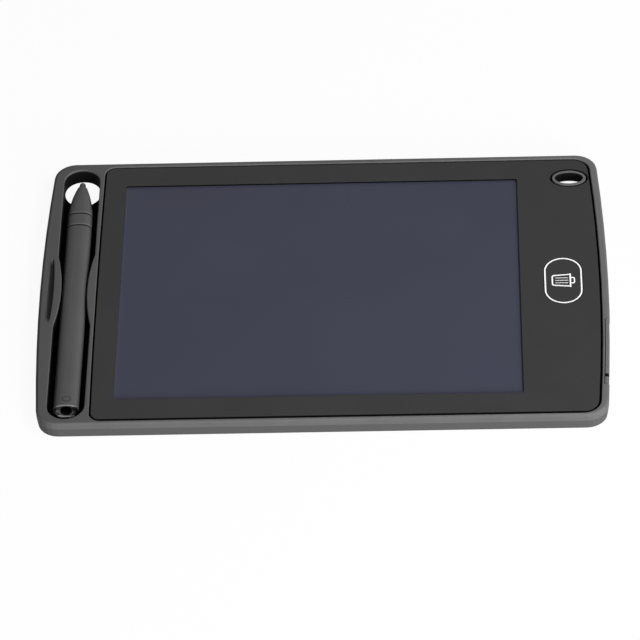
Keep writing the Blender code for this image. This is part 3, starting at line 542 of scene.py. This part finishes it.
def gateRing(tree):
    # the oval witness of the injection gate, on top of the barrel
    place = axes(tree, objectPlace(tree))
    middle = (stylusX + gateMark["side"], barrelLow.y + gateMark["fromEnd"])
    reach = ovalReach(tree, place, middle, gateMark["halves"])
    rise = ramp(tree, reach, *gateMark["rise"])
    fall = ramp(tree, reach, *gateMark["fall"], 1.0, 0.0)
    return product(tree, rise, fall, calc(tree, "GREATER_THAN", place[2], stylusZ))


def gateRelief(tree):
    return product(tree, gateRing(tree), gateMark["relief"])


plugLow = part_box("stylus_end_plug")[0]
# the plug's pale tone is partly its own colour and partly painted light; its right side is painted lighter,
# its upper part and the ring round its hole painted darker as shade
plugFinish = {
    **stylusFinish, "color": 0.20, "patchColor": 0.22, "rightLightColor": 0.36, "upperShadeColor": 0.035,
    "holeShadeColor": 0.003,
}
plugForm = {
    "behindFace": (0.03 * mm, 0.12 * mm), "upper": (-0.25 * mm, 0.20 * mm), "right": (0.0, 1.4 * mm),
    "holeDrop": 0.25 * mm, "hole": (1.45 * mm, 1.25 * mm),
}
nibFinish = {**stylusFinish, "color": 0.072, "patchColor": 0.080, "roughness": 0.42, "shadeColor": 0.010}


# painted shade behind the plug's face
def plugBehindFaceShade(tree):
    return past(tree, axes(tree, objectPlace(tree))[1], plugLow.y, plugForm["behindFace"])


# painted shade on the plug's upper part, under the barrel's lip
def plugUpperShade(tree):
    return past(tree, axes(tree, objectPlace(tree))[2], stylusZ, plugForm["upper"])


# painted light on the plug's right side
def plugRightLight(tree):
    return past(tree, axes(tree, objectPlace(tree))[0], stylusX, plugForm["right"])


def plugHoleShade(tree):
    # painted shade on the sunk ring round the hole
    x, _, z = axes(tree, objectPlace(tree))
    across = calc(tree, "SUBTRACT", x, stylusX)
    upward = calc(tree, "SUBTRACT", z, stylusZ - plugForm["holeDrop"])
    return ramp(tree, diagonal(tree, across, upward), *plugForm["hole"])


panelFinish = {
    "color": 0.032, "patchColor": 0.035, "wornAndHighlightColor": 0.052, "dustColor": 0.085,
    "roughness": 0.62, "specular": 0.08, "grainDepth": 0.010 * mm, "edgeReach": 0.10 * mm,
    # the near-black of painted shade on the panel's sides
    "sideShadeColor": 0.0015, "side": (-0.01 * mm, -0.05 * mm), "near": (0.16 * mm, 0.08 * mm),
}
panelLow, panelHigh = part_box("front_cover")


def panelSideShade(tree):
    # painted shade on its sides, and on the drop at its near edge and round the lanyard hole
    _, y, z = axes(tree, objectPlace(tree))
    side = past(tree, z, panelHigh.z, panelFinish["side"])
    near = past(tree, y, panelLow.y, panelFinish["near"])
    oval = ramp(tree, lanyardReach(tree, lanyardForm["panelEdge"]), *lanyardForm["panelReach"])
    return calc(tree, "MAXIMUM", calc(tree, "MAXIMUM", side, near), oval)


# each layer's mask, its tone and how much it dulls the surface
# the near-black of painted shade in hollows, gaps and bores
shadeBlack = caseFinish["insideShadeColor"]
# painted shade on the case's lower band
foot = (caseFootShade, caseFinish["footShadeColor"], 0.04)
# painted light on the right rim
right = (rimRightLight, caseFinish["rimRightLightColor"], 0.0)
shellLayers = (
    (rimLeftShade, caseFinish["rimLeftShadeColor"], 0.0), right, foot,
    # painted shade on the left wall and the left edge
    (leftWallShade, caseFinish["leftWallShadeColor"], 0.0), (leftEdgeShade, caseFinish["leftEdgeShadeColor"], 0.0),
    (grooveShade, caseFinish["grooveColor"], 0.1),
    # painted near-black shade inside the case and on the lanyard hole's wall
    (caseInsideShade, shadeBlack, 0.45), (lanyardWallShade, shadeBlack, 0.45),
)
# on the stylus, all but the gate ring are painted light and shade: shade inside, on the cone's flanks, in the
# seams and on the end face; highlights on the seams' far edges and on the end's lips
stylusLayers = (
    (gateRing, stylusFinish["gateColor"], 0.05), (stylusInsideShade, shadeBlack, 0.45),
    (coneShade, stylusFinish["coneColor"], 0.1), (seamHighlight, stylusFinish["seamHighlightColor"], -0.02),
    (seamShade, stylusFinish["seamShadeColor"], 0.3),
    # painted highlight on the top lip, painted shade on the end face, painted highlight on the lower lip
    (endBand(*endForm["lip"]), stylusFinish["endLipHighlightColor"], 0.0),
    (endBand(*endForm["face"]), stylusFinish["endFaceShadeColor"], 0.1),
    (endFloorHighlight, stylusFinish["endFloorHighlightColor"], 0.0),
)
# painted light and shade on the plug
plugLayers = (
    (plugRightLight, plugFinish["rightLightColor"], 0.0), (plugUpperShade, plugFinish["upperShadeColor"], 0.1),
    (plugHoleShade, plugFinish["holeShadeColor"], 0.3), (plugBehindFaceShade, shadeBlack, 0.45),
)
shellPlastic = makeMoulded("shellPlastic", caseFinish, shellLayers)
# the drawer and latch share the painted light on the right and the painted shade on the lower band
casePlastic = makeMoulded(
    "casePlastic", caseFinish, (right, foot, (notchShade, caseFinish["notchColor"], 0.3)),
)
stylusPlastic = makeMoulded("stylusPlastic", stylusFinish, stylusLayers, gateRelief)
nibPlastic = makeMoulded("nibPlastic", nibFinish, ((nibShade, nibFinish["shadeColor"], 0.2),))
plugPlastic = makeMoulded("plugPlastic", plugFinish, plugLayers)
panelPlastic = makeMoulded("panelPlastic", panelFinish, ((panelSideShade, panelFinish["sideShadeColor"], 0.3),))

# Writing film

filmFinish = {
    "color": (0.0400, 0.0415, 0.0630, 1.0), "patchColor": (0.0425, 0.0440, 0.0670, 1.0),
    # the darker band at the near edge is a painted shadow cast by the cover's edge
    "edgeColor": (0.050, 0.053, 0.082, 1.0), "bottomShadowColor": (0.031, 0.031, 0.045, 1.0),
    "dustColor": (0.085, 0.090, 0.105, 1.0), "roughness": 0.36, "specular": 0.10,
    "sideBand": (0.42 * mm, 0.7 * mm), "sideShare": 0.55, "bottomShadowBand": (0.0, 1.1 * mm), "bottomShadowShare": 0.75,
    "dust": {"Scale": 170.0, "Size": 0.024, "Share": 0.24}, "rubScale": (1.0, 3.0, 1.0),
}
window = {"left": -46.34 * mm, "right": 44.65 * mm, "near": -35.60 * mm}


def makeFilm():
    material, tree, shader = newMaterial("writingFilm", Specular_IOR_Level=filmFinish["specular"])
    place = objectPlace(tree)
    x, y, _ = axes(tree, place)
    cloudy = ramp(tree, noise(tree, place, 38.0, 4.0), 0.32, 0.68)
    color = mixed(tree, cloudy, filmFinish["color"], filmFinish["patchColor"])
    fromLeft = calc(tree, "SUBTRACT", x, window["left"])
    fromRight = calc(tree, "SUBTRACT", window["right"], x)
    side = calc(tree, "MINIMUM", fromLeft, fromRight)
    edge = ramp(tree, side, *filmFinish["sideBand"], filmFinish["sideShare"], 0.0)
    color = mixed(tree, edge, color, filmFinish["edgeColor"])
    # painted shadow of the cover's near edge on the film
    fromNear = calc(tree, "SUBTRACT", y, window["near"])
    low = ramp(tree, fromNear, *filmFinish["bottomShadowBand"], filmFinish["bottomShadowShare"], 0.0)
    color = mixed(tree, low, color, filmFinish["bottomShadowColor"])
    dust = useGroup(tree, fineDust, **filmFinish["dust"])
    color = mixed(tree, dust["Speck"], color, filmFinish["dustColor"])
    tree.links.new(color, shader.inputs["Base Color"])
    rubbed = noise(tree, stretched(tree, place, filmFinish["rubScale"]), 120.0, 3.0)
    gloss = calc(tree, "MULTIPLY_ADD", rubbed, 0.10, filmFinish["roughness"] - 0.05)
    tree.links.new(gloss, shader.inputs["Roughness"])
    bumped(tree, shader, noise(tree, place, 2600.0, 2.0), 0.25, 0.004 * mm)
    return material


writingFilm = makeFilm()
print("plastics and film built")

# Inner materials

# darkest and lightest tone, roughness, scale of the grain and its depth
innerFinish = {
    "sheet": (0.012, 0.016, 0.46, 900.0, 0.006 * mm), "foam": (0.026, 0.040, 0.95, 5200.0, 0.12 * mm),
    "tape": (0.004, 0.006, 0.85, 2600.0, 0.02 * mm), "resin": (0.009, 0.014, 0.45, 2800.0, 0.012 * mm),
}


def makeMottled(name, low, high, roughness, scale, depth):
    material, tree, shader = newMaterial(name)
    place = objectPlace(tree)
    value = noise(tree, place, scale, 4.0, 0.6)
    mask = ramp(tree, value, 0.35, 0.65)
    tree.links.new(mixed(tree, mask, grey(low), grey(high)), shader.inputs["Base Color"])
    tree.links.new(calc(tree, "MULTIPLY_ADD", mask, 0.08, roughness - 0.04), shader.inputs["Roughness"])
    bumped(tree, shader, value, 0.6, depth)
    return material


sheetPlastic = makeMottled("sheetPlastic", *innerFinish["sheet"])
foamPad = makeMottled("foamPad", *innerFinish["foam"])
adhesiveTape = makeMottled("adhesiveTape", *innerFinish["tape"])

boardFinish = {
    "mask": (0.008, 0.105, 0.030, 1.0), "track": (0.014, 0.170, 0.050, 1.0),
    "pitch": 0.9 * mm, "trackWidth": 0.32, "wander": 2.4 * mm,
}


def makeBoard():
    material, tree, shader = newMaterial("boardGreen")
    place = objectPlace(tree)
    x = axes(tree, place)[0]
    drift = calc(tree, "SUBTRACT", noise(tree, place, 220.0, 0.0), 0.5)
    bend = calc(tree, "MULTIPLY", drift, boardFinish["wander"])
    line = calc(tree, "FRACT", calc(tree, "DIVIDE", calc(tree, "ADD", x, bend), boardFinish["pitch"]))
    tracks = calc(tree, "LESS_THAN", line, boardFinish["trackWidth"])
    zone = calc(tree, "GREATER_THAN", noise(tree, place, 160.0, 0.0), 0.48)
    tracks = calc(tree, "MULTIPLY", tracks, zone)
    color = mixed(tree, tracks, boardFinish["mask"], boardFinish["track"])
    tree.links.new(color, shader.inputs["Base Color"])
    weave = noise(tree, place, 2400.0, 2.0)
    tree.links.new(calc(tree, "MULTIPLY_ADD", weave, 0.12, 0.30), shader.inputs["Roughness"])
    bumped(tree, shader, calc(tree, "ADD", calc(tree, "MULTIPLY", tracks, 0.8), weave), 0.6, 0.02 * mm)
    return material


boardGreen = makeBoard()

# Parts with tinned ends: the body's colour, the axis they lie along and the length of each end
endedParts = {
    "driver_chip": ((0.010, 0.010, 0.011, 1.0), 1, 0.35 * mm),
    "pulldown_resistor": ((0.012, 0.012, 0.013, 1.0), 0, 0.30 * mm),
    "rectifier_diode": ((0.014, 0.013, 0.013, 1.0), 0, 0.35 * mm),
    "storage_capacitor": ((0.36, 0.25, 0.14, 1.0), 0, 0.40 * mm),
    "bypass_capacitor": ((0.34, 0.23, 0.13, 1.0), 0, 0.30 * mm),
    "boost_inductor": ((0.048, 0.045, 0.043, 1.0), 0, 0.45 * mm),
}
tinColor = (0.62, 0.62, 0.60, 1.0)


def makeEnded(node, bodyColor, axis, reach):
    low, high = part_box(node)
    material, tree, shader = newMaterial(node + "_finish")
    place = objectPlace(tree)
    along = axes(tree, place)[axis]
    fromLow = calc(tree, "SUBTRACT", along, low[axis])
    fromHigh = calc(tree, "SUBTRACT", high[axis], along)
    ends = calc(tree, "LESS_THAN", calc(tree, "MINIMUM", fromLow, fromHigh), reach)
    fine = noise(tree, place, 3400.0, 3.0)
    darker = tuple(0.8 * c for c in bodyColor[:3]) + (1.0,)
    body = mixed(tree, ramp(tree, fine, 0.3, 0.7), bodyColor, darker)
    tree.links.new(mixed(tree, ends, body, tinColor), shader.inputs["Base Color"])
    tree.links.new(ends, shader.inputs["Metallic"])
    tree.links.new(calc(tree, "MULTIPLY_ADD", fine, 0.15, 0.40), shader.inputs["Roughness"])
    bumped(tree, shader, fine, 0.5, 0.012 * mm)
    return material


blackResin = makeMottled("blackResin", *innerFinish["resin"])

tailFinish = {
    "film": (0.46, 0.19, 0.028, 1.0), "copper": (0.62, 0.30, 0.14, 1.0), "pitch": 1.0 * mm, "start": -50 * mm,
}


def makeTail():
    material, tree, shader = newMaterial("amberTail")
    place = objectPlace(tree)
    along = calc(tree, "SUBTRACT", axes(tree, place)[1], tailFinish["start"])
    line = calc(tree, "FRACT", calc(tree, "DIVIDE", along, tailFinish["pitch"]))
    tracks = calc(tree, "LESS_THAN", line, 0.5)
    tree.links.new(mixed(tree, tracks, tailFinish["film"], tailFinish["copper"]), shader.inputs["Base Color"])
    fine = noise(tree, place, 1500.0, 2.0)
    tree.links.new(calc(tree, "MULTIPLY_ADD", fine, 0.12, 0.28), shader.inputs["Roughness"])
    bumped(tree, shader, calc(tree, "ADD", tracks, fine), 0.4, 0.01 * mm)
    return material


def makeNickel():
    # turned and rubbed metal: fine scratches, and duller patches from handling
    material, tree, shader = newMaterial("nickelPlate", Metallic=1.0)
    place = objectPlace(tree)
    scratch = noise(tree, stretched(tree, place, (1.0, 14.0, 1.0)), 900.0, 3.0)
    patch = ramp(tree, noise(tree, place, 260.0, 3.0), 0.38, 0.62)
    bright, dull = (0.62, 0.61, 0.58, 1.0), (0.50, 0.49, 0.46, 1.0)
    tree.links.new(mixed(tree, patch, bright, dull), shader.inputs["Base Color"])
    gloss = calc(tree, "MULTIPLY_ADD", scratch, 0.16, 0.20)
    tree.links.new(calc(tree, "MULTIPLY_ADD", patch, 0.08, gloss), shader.inputs["Roughness"])
    bumped(tree, shader, scratch, 0.4, 0.006 * mm)
    return material


finishes = {
    "rear_shell": shellPlastic, "battery_tray": casePlastic, "tray_latch": casePlastic,
    "stylus_cone": stylusPlastic, "stylus_collar": stylusPlastic, "stylus_barrel": stylusPlastic,
    "stylus_end_plug": plugPlastic, "stylus_nib": nibPlastic,
    "front_cover": panelPlastic, "erase_key": panelPlastic, "switch_stem": panelPlastic,
    "lcd_film": writingFilm, "lcd_backing": sheetPlastic, "foam_pad": foamPad,
    "cover_adhesive": adhesiveTape, "circuit_board": boardGreen, "lcd_tail": makeTail(),
    "tail_clamp": blackResin, "switch_body": blackResin,
}
nickelPlate = makeNickel()
for name in ("coin_cell", "contact_plus", "contact_minus"):
    finishes[name] = nickelPlate
for name, (bodyColor, axis, reach) in endedParts.items():
    finishes[name] = makeEnded(name, bodyColor, axis, reach)
for name, node in nodes.items():
    node.data.materials.clear()
    node.data.materials.append(finishes[name])
print("finishes set on", len(finishes), "nodes")

# Print on the erase key

keyPrint = {
    "halfWidth": 4.26 * mm, "halfLength": 7.46 * mm, "stroke": 0.33 * mm,
    "thickness": 0.02 * mm, "roundShare": 0.999, "roundSegments": 16, "mergeDistance": 0.002 * mm,
}
keyLow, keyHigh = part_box("erase_key")
keyMiddle = ((keyLow.x + keyHigh.x) / 2, (keyLow.y + keyHigh.y) / 2)
keyTop = keyHigh.z


def makeInk():
    material, tree, shader = newMaterial("printWhite", Specular_IOR_Level=0.3)
    place = objectPlace(tree)
    fine = noise(tree, place, 2600.0, 3.0)
    color = mixed(tree, ramp(tree, fine, 0.3, 0.7), grey(0.90), grey(0.96))
    tree.links.new(color, shader.inputs["Base Color"])
    tree.links.new(calc(tree, "MULTIPLY_ADD", fine, 0.1, 0.45), shader.inputs["Roughness"])
    bumped(tree, shader, fine, 0.3, 0.004 * mm)
    return material


printWhite = makeInk()


def startPlane(name, center, size):
    bpy.ops.object.select_all(action="DESELECT")
    bpy.ops.mesh.primitive_plane_add(size=1.0, location=(*center, keyTop))
    piece = bpy.context.object
    piece.name = piece.data.name = name
    piece.scale = (*size, 1.0)
    bpy.ops.object.transform_apply(location=True, rotation=True, scale=True)
    return piece


def raiseInk(extra=0.0):
    # the flat print becomes a thin closed layer
    lift = (0, 0, keyPrint["thickness"] + extra)
    bpy.ops.mesh.select_all(action="SELECT")
    bpy.ops.mesh.extrude_region_move(TRANSFORM_OT_translate={"value": lift})
    bpy.ops.mesh.select_all(action="SELECT")
    bpy.ops.mesh.normals_make_consistent(inside=False)


def roundCorners(radius, segments):
    bpy.ops.mesh.select_all(action="SELECT")
    bpy.ops.mesh.bevel(offset=radius, segments=segments, affect="VERTICES")
    bpy.ops.mesh.remove_doubles(threshold=keyPrint["mergeDistance"])


def makeOutline(name, center, size, radius, segments, stroke, extra=0.0):
    piece = startPlane(name, center, size)
    bpy.ops.object.mode_set(mode="EDIT")
    roundCorners(radius, segments)
    bpy.ops.mesh.select_all(action="SELECT")
    bpy.ops.mesh.inset(thickness=stroke)
    bpy.ops.mesh.delete(type="FACE")
    raiseInk(extra)
    bpy.ops.object.mode_set(mode="OBJECT")
    return piece


def makeBar(name, center, size, radius, extra=0.0):
    piece = startPlane(name, center, size)
    bpy.ops.object.mode_set(mode="EDIT")
    roundCorners(radius, 4)
    raiseInk(extra)
    bpy.ops.object.mode_set(mode="OBJECT")
    return piece


keyOutline = makeOutline(
    "keyOutlineInk", keyMiddle, (2 * keyPrint["halfWidth"], 2 * keyPrint["halfLength"]),
    keyPrint["halfWidth"] * keyPrint["roundShare"], keyPrint["roundSegments"], keyPrint["stroke"],
)

# The bin lies on its side, its lid towards the right-hand end
binPrint = {
    "left": keyMiddle[0] - 2.64 * mm, "right": keyMiddle[0] + 1.77 * mm,
    "middle": keyMiddle[1] + 0.05 * mm, "baseHalf": 1.70 * mm, "lidHalf": 2.12 * mm,
    "lidOverhang": 0.10 * mm, "stroke": 0.32 * mm, "cornerRadius": 0.55 * mm,
    "lidRise": 0.006 * mm, "handleRise": 0.003 * mm,
    "handleRight": keyMiddle[0] + 2.67 * mm, "handleHalf": 1.05 * mm, "handleRadius": 0.5 * mm,
    "ribLeft": keyMiddle[0] - 1.82 * mm, "ribRight": keyMiddle[0] + 1.13 * mm,
    "ribPitch": 0.80 * mm, "ribWidth": 0.19 * mm, "ribRadius": 0.12 * mm,
    "lidStroke": 0.3456 * mm, "lidRadius": 0.10 * mm, "handleStroke": 0.288 * mm,
}


def makeBin():
    p = binPrint
    length = p["right"] - p["left"]
    body = makeBinBody((p["left"] + p["right"]) / 2, length)
    lid = makeBar(
        "binLid", (p["right"] - p["stroke"] / 2, p["middle"]),
        (p["lidStroke"], 2 * (p["lidHalf"] + p["lidOverhang"])), p["lidRadius"], p["lidRise"],
    )
    handleLeft = p["right"] - p["stroke"]
    handle = makeOutline(
        "binHandle", ((handleLeft + p["handleRight"]) / 2, p["middle"]),
        (p["handleRight"] - handleLeft, 2 * p["handleHalf"]), p["handleRadius"], 5, p["handleStroke"],
        p["handleRise"],
    )
    ribs = []
    for step in (-1, 0, 1):
        center = ((p["ribLeft"] + p["ribRight"]) / 2, p["middle"] + step * p["ribPitch"])
        size = (p["ribRight"] - p["ribLeft"], p["ribWidth"])
        ribs.append(makeBar(f"binRib{step + 2}", center, size, p["ribRadius"]))
    return [body, lid, handle, *ribs]


def makeBinBody(middleX, length):
    p = binPrint
    piece = startPlane("binBody", (middleX, p["middle"]), (length, 2 * p["lidHalf"]))
    bpy.ops.object.mode_set(mode="EDIT")
    bpy.ops.mesh.select_all(action="DESELECT")
    bpy.ops.object.mode_set(mode="OBJECT")
    for vertex in piece.data.vertices:
        vertex.select = vertex.co.x < middleX
    bpy.ops.object.mode_set(mode="EDIT")
    narrow = p["baseHalf"] / p["lidHalf"]  # the base is narrower than the mouth
    bpy.ops.transform.resize(value=(1, narrow, 1), center_override=(p["left"], p["middle"], keyTop))
    bpy.ops.mesh.bevel(offset=p["cornerRadius"], segments=5, affect="VERTICES")
    bpy.ops.mesh.select_all(action="SELECT")
    bpy.ops.mesh.inset(thickness=p["stroke"])
    bpy.ops.mesh.delete(type="FACE")
    raiseInk()
    bpy.ops.object.mode_set(mode="OBJECT")
    return piece


for piece in [keyOutline, *makeBin()]:
    piece.data.materials.clear()
    piece.data.materials.append(printWhite)
    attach(piece, "key")
print("key print made")

# Stage, light and camera

stageLook = {
    "size": 3.0, "drop": 0.05 * mm, "clearWithin": 0.5 * mm, "color": 0.80, "colorSpread": 0.01,
    "glow": 0.94, "ambient": 0.22, "leftAmbient": 0.06, "roomLeft": -0.6, "roomRight": 0.5,
}


def backdropRays(tree):
    path = tree.nodes.new("ShaderNodeLightPath")
    seen = calc(tree, "ADD", path.outputs["Is Camera Ray"], path.outputs["Is Glossy Ray"])
    return calc(tree, "ADD", seen, path.outputs["Is Transmission Ray"], clamp=True)


def makeFloor():
    bpy.ops.object.select_all(action="DESELECT")
    bpy.ops.mesh.primitive_plane_add(size=stageLook["size"], location=(0, 0, -stageLook["drop"]))
    floor = bpy.context.object
    floor.name = "studioFloor"
    material = bpy.data.materials.new("studioFloor")
    material.use_nodes = True
    tree = material.node_tree
    tree.nodes.clear()
    diffuse = tree.nodes.new("ShaderNodeBsdfDiffuse")
    tone = noise(tree, objectPlace(tree), 3.0, 2.0)
    low, high = (stageLook["color"] + sign * stageLook["colorSpread"] for sign in (-1, 1))
    tree.links.new(mixed(tree, tone, grey(low), grey(high)), diffuse.inputs["Color"])
    glow = tree.nodes.new("ShaderNodeEmission")
    blend = tree.nodes.new("ShaderNodeMixShader")
    share = calc(tree, "MULTIPLY", backdropRays(tree), stageLook["glow"])
    tree.links.new(share, blend.inputs[0])
    tree.links.new(diffuse.outputs[0], blend.inputs[1])
    tree.links.new(glow.outputs[0], blend.inputs[2])
    # clear from below and close up, so the back of the tablet can be seen and is lit
    clear = tree.nodes.new("ShaderNodeBsdfTransparent")
    see = tree.nodes.new("ShaderNodeMixShader")
    rayLength = tree.nodes.new("ShaderNodeLightPath").outputs["Ray Length"]
    close = calc(tree, "LESS_THAN", rayLength, stageLook["clearWithin"])
    below = tree.nodes.new("ShaderNodeNewGeometry").outputs["Backfacing"]
    tree.links.new(calc(tree, "MAXIMUM", close, below), see.inputs[0])
    tree.links.new(blend.outputs[0], see.inputs[1])
    tree.links.new(clear.outputs[0], see.inputs[2])
    out = tree.nodes.new("ShaderNodeOutputMaterial")
    tree.links.new(see.outputs[0], out.inputs["Surface"])
    floor.data.materials.append(material)


def makeWorld():
    world = bpy.data.worlds.new("studioWorld")
    bpy.context.scene.world = world
    world.use_nodes = True
    tree = world.node_tree
    background = tree.nodes["Background"]
    background.inputs["Color"].default_value = grey(1.0)
    rays = backdropRays(tree)
    # the room is darker on the left, so the light comes mostly from the right
    side = axes(tree, objectPlace(tree))[0]
    ends = (stageLook["roomLeft"], stageLook["roomRight"])
    room = ramp(tree, side, *ends, stageLook["leftAmbient"], stageLook["ambient"])
    light = calc(tree, "MULTIPLY", room, calc(tree, "SUBTRACT", 1.0, rays))
    tree.links.new(calc(tree, "ADD", rays, light), background.inputs["Strength"])


lamps = {
    "frontKey": {"place": (0.42, -0.84, 0.26), "size": 0.35, "power": 12.6},
    "highKey": {"place": (0.40, -0.26, 0.56), "size": 0.22, "power": 4.1},
}


def makeLamps():
    for name, lamp in lamps.items():
        light = bpy.data.lights.new(name, "AREA")
        light.size = lamp["size"]
        light.energy = lamp["power"]
        holder = bpy.data.objects.new(name, light)
        bpy.context.scene.collection.objects.link(holder)
        holder.location = lamp["place"]
        holder.rotation_euler = (-Vector(lamp["place"])).to_track_quat("-Z", "Y").to_euler()


cameraFit = {
    "distance": 969.3 * mm, "elevation": 43.70, "yaw": -2.52, "roll": -2.77,
    "aim": (-0.67 * mm, -11.40 * mm), "rimHeight": 4.4 * mm, "focalPixels": 4304.7, "framePixels": 640,
}


def makeCamera():
    fit = cameraFit
    yaw, rise, roll = radians(fit["yaw"]), radians(fit["elevation"]), radians(fit["roll"])
    ahead = Vector((sin(yaw) * cos(rise), cos(yaw) * cos(rise), -sin(rise)))
    right = Vector((cos(yaw), -sin(yaw), 0))
    up = right.cross(ahead)
    rolledRight = cos(roll) * right + sin(roll) * up
    rolledUp = -sin(roll) * right + cos(roll) * up
    data = bpy.data.cameras.new("photoCamera")
    data.sensor_width = 36.0
    data.lens = fit["focalPixels"] / fit["framePixels"] * data.sensor_width
    data.clip_start, data.clip_end = 0.01, 10.0
    camera = bpy.data.objects.new("photoCamera", data)
    bpy.context.scene.collection.objects.link(camera)
    place = -fit["distance"] * ahead + Vector((*fit["aim"], fit["rimHeight"]))
    turn = Matrix((rolledRight, rolledUp, -ahead)).transposed()
    camera.matrix_world = Matrix.Translation(place) @ turn.to_4x4()
    bpy.context.scene.camera = camera


makeFloor()
makeWorld()
makeLamps()
makeCamera()
bpy.context.scene.view_settings.view_transform = "Standard"
print("stage, lamps and camera set")
